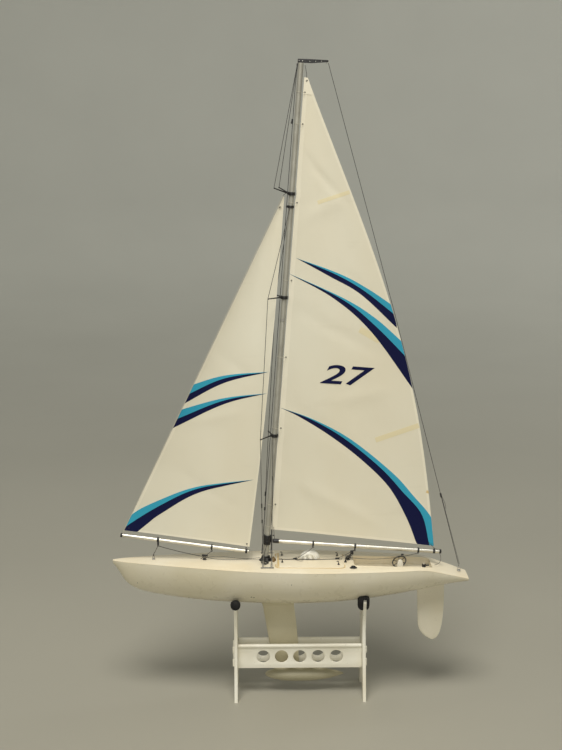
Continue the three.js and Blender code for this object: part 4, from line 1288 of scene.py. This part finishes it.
def hems(sail, prefix, body, foot, luff_width, leech_width, foot_width, steps, across):
    """Doubled cloth along the luff, the leech and the foot; widths run from foot to head."""
    def inner_luff(t):
        x, height = sail.luff(t)
        return x + luff_width[0] + (luff_width[1] - luff_width[0]) * t, height

    def inner_leech(t):
        x, height = sail.leech(t)
        return x - leech_width[0] - (leech_width[1] - leech_width[0]) * t, height

    def lower(t):
        return mix(*foot, t)

    def upper(t):
        x, height = lower(t)
        return x, height + foot_width

    return [
        sail.film(f"{prefix}luff_hem", sail.luff, inner_luff, body, hem_cloth, 0.6, steps, across),
        sail.film(f"{prefix}leech_hem", inner_leech, sail.leech, body, hem_cloth, 0.55, steps, 2),
        sail.film(f"{prefix}foot_hem", lower, upper, body, hem_cloth, 0.5, steps // 2, 2),
    ]


def eyelets(sail, name, body, spots):
    rings = Shape()
    for x, height in spots:
        u, v = sail.shares(x, height)
        for off in (-0.5, 0.5):
            rings.ring(sail.at(u, v, off), (0, 1, 0), 1.1, 0.55, 8, 20)
    return piece(name, rings, body, black_plastic)


def sail_number(sail, name, body, text, centre, size):
    """Plain digits cut from navy film, on both faces of the sail."""
    shape = Shape()
    for side in (-1, 1):
        curve = bpy.data.curves.new("digits", "FONT")
        curve.body = text
        curve.size = size
        curve.align_x = "CENTER"
        curve.align_y = "CENTER"
        curve.shear = 0.25
        curve.offset = 0.7
        curve.extrude = 0.15
        data = evaluated_mesh(link_object("digits", curve))
        bm = bmesh.new()
        bm.from_mesh(data)
        bmesh.ops.remove_doubles(bm, verts=bm.verts, dist=1e-4)
        points = []
        for vertex in bm.verts:
            u, v = sail.shares(centre[0] - side * 1.7 * vertex.co.x, centre[1] + vertex.co.y)
            points.append(sail.at(u, v, side * (0.45 + vertex.co.z)))
        bm.verts.index_update()
        shape.add(points, [[v.index for v in f.verts] for f in bm.faces])
        bm.free()
    return piece(name, shape, body, navy_film, smooth=30)


LUFF_HEIGHTS = (125, 295, 450, 615, 779, 942, 1007)


def make_mainsail():
    tack, clew, head, head_x = (6.9, 68.7), (365, 54.9), 1037, 16.5

    def luff(v):
        """Close to the mast, but clear of the spreaders' collars."""
        height = tack[1] + (head - tack[1]) * v
        clear = sum(math.exp(-((height - collar[0]) / 9) ** 2) for collar in SPREADERS.values())
        return tack[0] + 2 * v + 1.9 * clear, height

    def leech(v):
        roach = 49 * math.sin(math.pi * (1 - v) ** 1.15)
        return clew[0] + (head_x - clew[0]) * v + roach, clew[1] + (head - clew[1]) * v

    def board_edge(x):
        return lambda t: (x, head - 34 * t)

    sail = Sail(luff, leech, 9, RIG, MAIN_FOLDS)
    body = "main_boom"
    cloth = sail.sheet("mainsail_cloth", "mainsail", body, sailcloth)
    trim = []
    trim += swoosh(sail, "upper_stripe", body, [(19, 663), (115, 635), (176, 608), (234, 575)],
                   [(19, 663), (92, 629), (162, 595), (244, 529)], [(239, 556)])
    trim += swoosh(sail, "middle_stripe", body, [(2, 631), (131, 582), (199, 545), (258, 500)],
                   [(2, 631), (107, 581), (193, 514), (294, 394)], [(276, 462)])
    trim += swoosh(sail, "lower_stripe", body,
                   [(8, 340), (85, 316), (167, 278), (261, 212), (310, 165), (357, 113), (368, 54)],
                   [(8, 340), (54, 320), (123, 282), (193, 235), (256, 180), (300, 114), (329, 53)],
                   [(333, 123), (356, 53)])
    trim += hems(sail, "", body, (tack, clew), (13, 8), (5, 5), 6, 120, 3)
    trim.append(sail.film("head_board", board_edge(0), board_edge(40), body, hem_cloth, 1.1, 20, 3))
    trim.append(strip(sail, "repair_tape_1", body, (56, 782), (121, 809), 8, tape_cloth))
    trim.append(strip(sail, "repair_tape_2", body, (166, 520), (210, 499), 14, tape_cloth))
    trim.append(strip(sail, "repair_tape_3", body, (219, 281), (309, 321), 11, tape_cloth))
    trim.append(strip(sail, "rust_mark", body, (338, 176), (352, 172), 6, stain_cloth))
    trim.append(sail_number(sail, "sail_number", body, "27", (137, 416), 58))
    spots = [(12.5, h) for h in LUFF_HEIGHTS] + [(353, 61), (15, head - 6)]
    trim.append(eyelets(sail, "mainsail_eyelets", body, spots))
    width = (sail.row(0)[1] - sail.row(0)[0]).length + 40
    sail.area()

    ties = Shape()
    for height in LUFF_HEIGHTS + (76,):
        loop = [(3 + 9.2 * math.cos(a), 7.2 * math.sin(a), height - 0.9 * math.cos(a)) for a in angles(40)]
        ties.tube(loop, 0.32, 8, RIG, True)
    piece("luff_ties", ties, body, pale_thread)
    halyard = Shape().tube([on_rig(14.5, 0, 1032), on_rig(13, 0, 1046), on_rig(9, 0, 1062)], 0.5, 8)
    halyard.ring(on_rig(14.5, 0, 1030), (0, 1, 0), 1.8, 0.45)
    piece("main_halyard", halyard, body, rigging_cord)


def make_jib():
    tack, clew, head = (-361.8, 371.4), (-89.3, 332.3), (-13.3, 1092)
    top = (head[0] + 2, head[1])

    def luff(v):
        return mix(tack, head, v)

    def leech(v):
        x, height = mix(clew, top, v)
        return x + 6 * math.sin(math.pi * v), height

    sail = Sail(luff, leech, 7, Matrix.Identity(4), JIB_FOLDS)
    body = "jib_boom"
    cloth = sail.sheet("jib_cloth", "jib_sail", body, sailcloth, 120, 36)
    trim = []
    trim += swoosh(sail, "jib_upper_stripe", body, [(-45, 720), (-142, 711), (-212, 692)],
                   [(-45, 720), (-142, 695), (-229, 651)], [(-219, 672)])
    trim += swoosh(sail, "jib_middle_stripe", body, [(-50, 673), (-142, 662), (-237, 638)],
                   [(-50, 673), (-142, 649), (-255, 597)], [(-244, 618)])
    trim += swoosh(sail, "jib_lower_stripe", body,
                   [(-79, 483), (-200, 467), (-280, 440), (-343, 408), (-364, 371)],
                   [(-79, 483), (-200, 453), (-281, 408), (-312, 385), (-334, 367)],
                   [(-352, 384), (-364, 370)])
    trim += hems(sail, "jib_", body, (tack, clew), (7, 1.75), (4, 0.4), 5, 100, 2)
    trim.append(strip(sail, "jib_tape_1", body, (-236, 628), (-222, 657), 8, hem_cloth))
    trim.append(strip(sail, "jib_tape_2", body, (-262, 574), (-249, 601), 9, hem_cloth))
    trim.append(eyelets(sail, "jib_eyelets", body, [(-352, 376), (-95, 339), (-21, 1070)]))
    width = (sail.row(0)[1] - sail.row(0)[0]).length
    tall = (sail.row(1)[0] - sail.row(0)[0]).length
    sail.area()
    lines = Shape()
    nose = Vector((-364, 0, 365))
    lines.tube([nose, Vector((tack[0] - 1, 0, tack[1])), Vector((head[0] - 0.6, 0, head[1] + 3))], 0.55, 8)
    lines.tube([Vector((-94, 0, 337)), JIB_BOOM @ Vector((0, 0, JIB_LENGTH - 3))], 0.5, 8)
    lines.ring(Vector((-21, 0, 1070)), (0, 1, 0), 3, 0.45)
    piece("jib_luff_wire", lines, body, pale_thread)
    hoist = [Vector((head[0] - 0.6, 0, head[1] + 3)), on_rig(-MAST_R - 1.6, 0, 802)]
    wire("jib_halyard", hoist, radius=0.5)


# ---- Booms and running rigging --------------------------------------------------------------
ALONG_BOOM = RIG @ at(0, 0, BOOM_HEIGHT) @ LYING
BAND_SPOTS = (101, 193, 332)
BAND_DROP = {101: 4, 193: 4.8, 332: 1.6}   # how far each band's ring hangs below the boom
JIB_BAND = 78                        # the swivel's band, along the jib boom


def make_main_boom():
    body = "main_boom"
    tube = pipe(3.3, BOOM_R, BOOM_START, BOOM_END)
    piece("boom_tube", Shape().turned(tube, 40, ALONG_BOOM), body, boom_metal, ["main_boom_tube"])
    cap = [(0, 0.3), (4.9, 0.3), (4.9, 3.4), (4.2, 4.4), (0, 5)]
    plug = Shape().turned([(radius, BOOM_END + along) for radius, along in cap], 32, ALONG_BOOM)
    piece("boom_end_cap", plug, body, black_plastic, ["main_boom_end"])
    collar = pipe(MAST_R + 0.3, MAST_R + 3, BOOM_HEIGHT - 4.5, BOOM_HEIGHT + 12)
    socket = Shape().turned(collar, 40, RIG)
    socket.turned([(0, 14), (4.9, 14), (4.9, 26), (4.5, 26), (4.5, 24.8), (0, 24.8)], 32, ALONG_BOOM)
    socket.block((7.2, -3, BOOM_HEIGHT - 4), (18, 3, BOOM_HEIGHT + 4), RIG, 0.6)
    socket.screw(on_rig(21, -4.8, BOOM_HEIGHT), (0, -1, 0), 1.3)
    for height in (0, 8):
        socket.screw(on_rig(0, -8.4, BOOM_HEIGHT + height), (0, -1, 0), 1.3)
    socket.block((-3, -3, BOOM_HEIGHT + 11.5), (6, 3, BOOM_HEIGHT + 12.4), RIG @ at(9.2), 0.2)
    piece("gooseneck", socket, body, black_plastic, ["boom_socket"])
    stop = pipe(MAST_R + 0.3, MAST_R + 2.4, BOOM_HEIGHT - 9, BOOM_HEIGHT - 5)
    rig_piece("gooseneck_stop", black_plastic, "boom_stop_collar", stop)


def make_boom_bands():
    """Bands with their rings, the tackle block and the outhaul's ring."""
    bands = Shape()
    for x in BAND_SPOTS:
        bands.turned(pipe(BOOM_R + 0.05, BOOM_R + 1.2, x - 2, x + 2), 32, ALONG_BOOM)
        under = BOOM_HEIGHT - BOOM_R
        bands.block((x - 1.2, -1, under - BAND_DROP[x]), (x + 1.2, 1, under - 0.6), RIG, 0.3)
        bands.ring(on_rig(x, 0, under - BAND_DROP[x] - 0.3), (0, 1, 0), 1.7, 0.5)
    tackle = on_rig(187, 0, BOOM_HEIGHT - 15)
    bands.tube([on_rig(193, 0, BOOM_HEIGHT - 9), tackle + Vector((1, 0, 4))], 0.6, 8)
    bands.block(tackle + Vector((-3.6, -2.2, -4.5)), tackle + Vector((3.6, 2.2, 4.5)), edge=1.2)
    bands.ring(tackle + Vector((-1, 0, -6)), (0, 1, 0), 1.8, 0.6)
    bands.turned(pipe(BOOM_R + 0.05, BOOM_R + 1, 364, 369), 32, ALONG_BOOM)
    bands.ring(on_rig(361, 0, 57), (0, 1, 0), 2.4, 0.5)
    piece("boom_bands", bands, "main_boom", black_plastic)
    path = [(355, 0, 60), (368, 0, BOOM_HEIGHT + 5.5), (BOOM_END + 3, 0, BOOM_HEIGHT + 3)]
    outhaul = Shape().tube([on_rig(*point) for point in path], 0.5, 8)
    outhaul.tube([on_rig(12, 0, 75), on_rig(16, 0, BOOM_HEIGHT + 5)], 0.5, 8)
    piece("outhaul_line", outhaul, "main_boom", sheet_cord)


def make_jib_boom():
    body = "jib_boom"
    rod = Shape().turned(pipe(3.1, JIB_R, 0, JIB_LENGTH), 36, JIB_BOOM)
    piece("jib_boom_rod", rod, body, boom_metal, ["jib_boom_tube"])
    nose = [(0, -4.3), (3.6, -4.3), (4.7, -3.2), (4.8, -0.3), (0, -0.3)]
    piece("jib_boom_cap", Shape().turned(nose, 32, JIB_BOOM), body, black_plastic, ["jib_boom_nose"])
    link = Shape().turned(pipe(JIB_R + 0.05, JIB_R + 1.3, JIB_BAND - 2.5, JIB_BAND + 2.5), 32, JIB_BOOM)
    strap = JIB_BOOM @ Vector((0, 0, JIB_BAND))
    link.block(strap + Vector((-2, -1.2, -12.5)), strap + Vector((2, 1.2, -JIB_R)), edge=0.5)
    link.ring(strap - Vector((0, 0, 13.5)), (0, 1, 0), 1.6, 0.5)
    piece("jib_swivel_band", link, body, black_plastic, ["jib_pivot_link"])
    drop = Shape().tube([(-299, 0, 314.5), (-298.6, 0, 317), strap - Vector((0, 0, 13))], 0.65, 12)
    drop.turned([(0, 313.6), (1.7, 313.6), (1.7, 316), (1.1, 316.8), (0, 317)], 20, at(-299))
    piece("jib_swivel_cord", drop, body, sheet_cord)
    band = Shape().turned(pipe(JIB_R + 0.3, JIB_R + 1.3, 194, 198), 32, JIB_BOOM)
    strap = JIB_BOOM @ Vector((0, 0, 196))
    band.block(strap + Vector((-1.6, -1, -8.5)), strap + Vector((1.6, 1, -JIB_R)), edge=0.4)
    band.ring(strap - Vector((0, 0, 9.3)), (0, 1, 0), 1.7, 0.5)
    band.turned(pipe(JIB_R + 0.05, JIB_R + 1.1, JIB_LENGTH - 8, JIB_LENGTH - 3), 32, JIB_BOOM)
    band.ring(JIB_BOOM @ Vector((0, 0, JIB_LENGTH - 5)) + Vector((0, 0, 6.6)), (0, 1, 0), 1.8, 0.5)
    plug = [(0, -0.4), (3.9, -0.4), (3.9, 0.5), (0, 0.8)]
    band.turned([(radius, JIB_LENGTH + along) for radius, along in plug], 28, JIB_BOOM)
    piece("jib_boom_bands", band, body, black_plastic, ["jib_sheet_band"])


OUTHAUL_TAIL = [(2, 0, -5.3), (3.5, -1, -10.3), (4, -3, -15.3), (2.5, -6, -20.3), (-1, -9, -24.3),
                (-6, -12, -25.8), (-11, -14, -26.3)]


def make_outhaul_tail():
    base = on_rig(BOOM_END + 2, 0, BOOM_HEIGHT - BOOM_R - 1)
    offsets = [Vector(p) - Vector(OUTHAUL_TAIL[0]) for p in OUTHAUL_TAIL]
    path = spline_points([base + offset for offset in offsets], 4)
    curve = bpy.data.curves.new("outhaul_tail_cord", "CURVE")
    curve.dimensions = "3D"
    curve.bevel_depth = 0.5 * MM
    curve.bevel_resolution = 3
    curve.use_fill_caps = True
    spline = curve.splines.new("POLY")
    spline.points.add(len(path) - 1)
    for point, spot in zip(spline.points, path):
        point.co = (*(spot * MM), 1)
    curve.materials.append(sheet_cord.material)
    cord = link_object("outhaul_tail_cord", curve)
    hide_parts("outhaul_tail")
    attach(cord, "main_boom")


def sagging(start, end, sag, steps=14):
    start, end = Vector(start), Vector(end)
    return [start.lerp(end, k / steps) - Vector((0, 0, 4 * sag * (k / steps) * (1 - k / steps)))
            for k in range(steps + 1)]


def band_ring(spot):
    return on_rig(spot, 0, BOOM_HEIGHT - BOOM_R - BAND_DROP[spot] - 1.2)


def make_bridles_and_sheets():
    """Each bridle is made as a foot from the hatch and a top to the boom, both left unattached; they meet at
    a knot.
    """
    swing = ("boat", "main_boom")
    bridles = (("fore", (12, -4, 304.5), BAND_SPOTS[0]), ("aft", (104, 2, 304), BAND_SPOTS[1]))
    for name, start, spot in bridles:
        start, end = Vector(start), band_ring(spot)
        knot = start.lerp(end, 0.8)
        knot.y = start.y
        foot, top = sagging(start, knot, 0), sagging(knot, end, 0, 4)
        lift = (("hatch", "boat"), start, knot)
        wire(f"bridle_{name}_foot", foot, radius=0.55, look=sheet_cord, between=lift)
        wire(f"bridle_{name}_top", top, radius=0.55, look=sheet_cord, between=(swing, knot, end))
    start, end = Vector((127, 6, 305)), band_ring(BAND_SPOTS[2])
    wire("main_sheet", sagging(start, end, 8), radius=0.55, look=sheet_cord, between=(swing, start, end))
    slip = Shape()
    bowsie(slip, on_rig(298, 0, BOOM_HEIGHT - BOOM_R - 8.5), (1, 0, 0.02), 6)
    piece("sheet_slip", slip, "main_boom", black_plastic)

    start = Vector((-188, 0, 310.5))
    lines = (("jib_sheet", 196, 10, 0, 0.5), ("jib_foot_line", JIB_BAND, 14, 1.5, 0.7))
    for name, along, drop, sag, thick in lines:
        end = JIB_BOOM @ Vector((0, 0, along)) - Vector((0, 0, drop))
        wire(name, sagging(start, end, sag), radius=thick, between=(("boat", "jib_boom"), start, end))


def make_deck_lines():
    run = Shape()
    for y in (-3, 3):
        path = [(-186, y * 0.4, 309), (-150, y * 0.6, deck_top(-150, 0) + 4 + y),
                (-100, y, deck_top(-100, 0) + 2.2), (-66, y * 1.8, deck_top(-66, 0) + 4)]
        run.tube(spline_points(path, 8), 0.5, 8)
    for end in ((-183, -6, 305.5), (-196, 3, 305)):
        run.tube(spline_points([(-188, -1, 311), (-189, -3, 312), end], 6), 0.6, 8)
    piece("deck_lines_fore", run, "boat", sheet_cord)
    slip = Shape()
    bowsie(slip, (-187, -1.6, 314), (1, 0, -0.12), 13)
    slip.tube([(-191, -1.6, 314), (-188, -1.6, 309)], 0.8, 8)
    piece("jib_sheet_bowsie", slip, "boat", black_plastic)
    lid = Shape()
    path = [(-26, -1.5), (-8, -2.5), (10, -2), (45, -4.5), (80, 0.5), (106, 2.5), (114, 4)]
    lid.tube(spline_points([(x, y, deck_top(x, y) + 2.6) for x, y in path], 8), 0.7, 8)
    lid.tube(spline_points([(x, y + 3.2, deck_top(x, y) + 2.5) for x, y in path[:4]], 8), 0.5, 8)
    tail = [(10, -3), (16, -9), (22, -13), (27, -12)]
    lid.tube(spline_points([(x, y, deck_top(x, y) + 2.4) for x, y in tail], 6), 0.45, 8)
    piece("deck_lines_hatch", lid, "hatch", sheet_cord)
    slips = Shape()
    bowsie(slips, (10, -1.5, deck_top(10, 0) + 4), (1, -0.1, 0.25), 9)
    bowsie(slips, (103, 2.5, deck_top(103, 0) + 3.8), (1, 0.05, 0.1), 9)
    piece("deck_bowsies", slips, "hatch", black_plastic)


def make_sheet_hardware():
    aft = Shape()
    for x, y, size in ((120, -12, 3), (131, 22, 3.4), (133, 34, 2.6), (123, 14, 2.4)):
        stud = [(0, 0), (size, 0), (size, 1.4), (size * 0.6, 2.2), (size * 0.5, size * 1.6), (0, size * 1.8)]
        aft.turned(stud, 24, at(x, y, deck_top(x, y) + 0.2))
    aft.tube(spline_points([(120, -12, 303), (122, -6, 307), (126, 2, 306), (131, 20, 304.5)], 8), 1.1, 10)
    piece("sheet_hardware", aft, "boat", black_plastic)
    curls = Shape()
    path = [(127, 8, 303), (134, 16, 306), (133, 26, 302.5), (128, 30, 302), (122, 26, 302.5), (124, 17, 304)]
    curls.tube(spline_points(path, 8), 0.55, 8)
    piece("sheet_slack", curls, "boat", sheet_cord)


# ---- Stand ----------------------------------------------------------------------------------
def plate_outline(tip):
    """Half of an end plate, from the arch to the cradle, with the corners eased."""
    return [(0, 52), (16, 48.5), (27, 41.5), (32, 34), (46, 0), (68, 0), (38, 148), (46, tip - 37), (61, tip),
            (58.9, tip + 5.6), (54, tip + 7), (49.1, tip + 4.2), (47, tip - 2), (39, 202), (26, 194),
            (12, 190.6), (0, 190)]


TENONS = ((66, 82), (96, 110))         # the low and high edge of each rail's two tongues


def make_end_plates():
    slots = []
    for sign in (-1, 1):
        for low, high in TENONS:
            corners = ((-3.2, low - 0.3), (3.2, low - 0.3), (3.2, high + 0.3), (-3.2, high + 0.3))
            slots.append([(sign * 20 + dy, z) for dy, z in corners])
    for end, x in STAND_X.items():
        half = plate_outline(STAND_TIP[end])
        outline = half + [(-y, z) for y, z in half[-2:0:-1]]
        made = plate(outline, STAND_THICK, 0.9, slots, athwart(x))
        piece(f"end_plate_{end}", made, "stand", stand_plastic, [f"stand_plate_{end}"])


def make_side_rails():
    gap = STAND_THICK / 2 + 0.3
    fore, aft = STAND_X["fore"] + gap, STAND_X["aft"] - gap
    wide = 4 + STAND_THICK / 2 + gap
    side = [(fore, 62), (aft, 62)]
    for low, high in TENONS:
        side += [(aft, low), (aft + wide, low), (aft + wide, high), (aft, high)]
    side += [(aft, 114), (fore, 114)]
    for low, high in reversed(TENONS):
        side += [(fore, high), (fore - wide, high), (fore - wide, low), (fore, low)]
    holes = [circle(20 + (k - 2) * 40.2, 88, 14.5, 48) for k in range(5)]
    for name, sign in SIDES.items():
        web = plate(side, 6, 0.6, holes, at(0, 20 * sign) @ STANDING)
        piece(f"side_rail_{name}", web, "stand", stand_plastic, [f"stand_rail_{name}"])
        profile = [(0, fore), (3.7, fore), (4.5, fore + 0.8), (4.5, aft - 0.8), (3.7, aft), (0, aft)]
        lip = Shape().turned(profile, 36, at(0, 21.5 * sign, 112.5) @ LYING)
        piece(f"side_rail_lip_{name}", lip, "stand", stand_plastic)


# How high each pad's round top is centred, its size, and how far it reaches fore and aft.
PADS = {
    "fore": dict(centre=(53, 217.5), radius=11, low=208.5, inner=43, outer=63, reach=(-11, 11), edge=9.5),
    "aft": dict(centre=(53, 226), radius=12.5, low=206, inner=41.5, outer=62, reach=(-15.5, 10.5), edge=8.5),
}


def pad_blank(shape, sign, x):
    cy, cz = shape["centre"]
    outline = []
    for k in range(25):
        angle = math.pi * k / 24
        outline.append((cy + shape["radius"] * math.cos(angle), cz + shape["radius"] * math.sin(angle)))
    inner, outer, low = shape["inner"], shape["outer"], shape["low"]
    outline += [(inner, cz - 8), (inner + 2, low), (outer - 2, low), (outer, cz - 9)]
    start, end = shape["reach"]
    middle = athwart(x + (start + end) / 2)
    return plate([(y * sign, z) for y, z in outline], end - start, shape["edge"], (), middle)


def hull_cutter(x):
    rows = []
    for step in (-40, -20, 0, 20, 40):
        row = hull_row(x + step, -0.5, 40)
        rows.append(row + [(x + step, row[-1][1], 330), (x + step, row[0][1], 330)])
    return Shape().skin(rows).mesh("cut")


def make_pads():
    for end, x in STAND_X.items():
        tip = STAND_TIP[end]
        for name, sign in SIDES.items():
            half = [((y + (0.4 if y > 30 else 0)) * sign, z) for y, z in plate_outline(tip)]
            cutters = [hull_cutter(x), plate(half, STAND_THICK + 0.7, 0.3, (), athwart(x))]
            if end == "aft":
                low, high = sorted((50 * sign, 90 * sign))
                slit = Shape().block((x - 3.9, low, 190), (x + 3.9, high, tip + 9), edge=0.3)
                cutters.append(slit.mesh("cut"))
            made = link_object("pad", carve(pad_blank(PADS[end], sign, x), *cutters))
            remesh = made.modifiers.new("even", "REMESH")
            remesh.mode = "VOXEL"
            remesh.voxel_size = 0.9 * MM
            data = evaluated_mesh(made)
            for vertex in data.vertices:
                vertex.co += vertex.normal * MM * 0.35 * noise.noise(vertex.co * 260)
            pad = piece(f"foam_pad_{end}_{name}", data, "stand", foam, [f"stand_pad_{end}_{name}"], smooth=60)


def make_floor():
    """A round sheet of paper that curves up into a wall; the profile is in metres."""
    profile = [(0.001, 0), (5, 0), (6.5, 0.12), (7.8, 0.7), (8.6, 1.9), (8.9, 3.6), (9, 8)]
    rows = []
    for radius, height in profile:
        reach = radius / MM
        rows.append([(reach * math.cos(a), reach * math.sin(a), height / MM) for a in angles(96)])
    data = Shape().skin(rows, caps=False).mesh("floor")
    data.shade_smooth()
    data.materials.append(floor_look().material)
    link_object("floor", data)


foam = foam_look()
make_camera()
make_studio()
make_floor()
make_main_boom()
make_boom_bands()
make_jib_boom()
make_outhaul_tail()
make_hull()
make_deck()
make_keel()
make_bulb()
make_rudder()
make_tiller(284.5)
make_steering_rod(286.9)
make_rudder_bearing()
make_eyes()
make_mast_step()
make_switch()
make_helm()
make_wheel()
make_chainplates()
make_halyard_bundle()
make_glue_smear()
make_mast()
make_crane()
make_spreaders()
make_standing_rigging()
make_mainsail()
make_jib()
make_bridles_and_sheets()
make_deck_lines()
make_sheet_hardware()
make_end_plates()
make_side_rails()
make_pads()
dress(white_plastic, "servo_tray", "servo_arm", "winch_arm")
dress(black_plastic, "rudder_servo", "winch_servo", "battery_pack", "radio_receiver")
dress(steel, "keel_bolt")
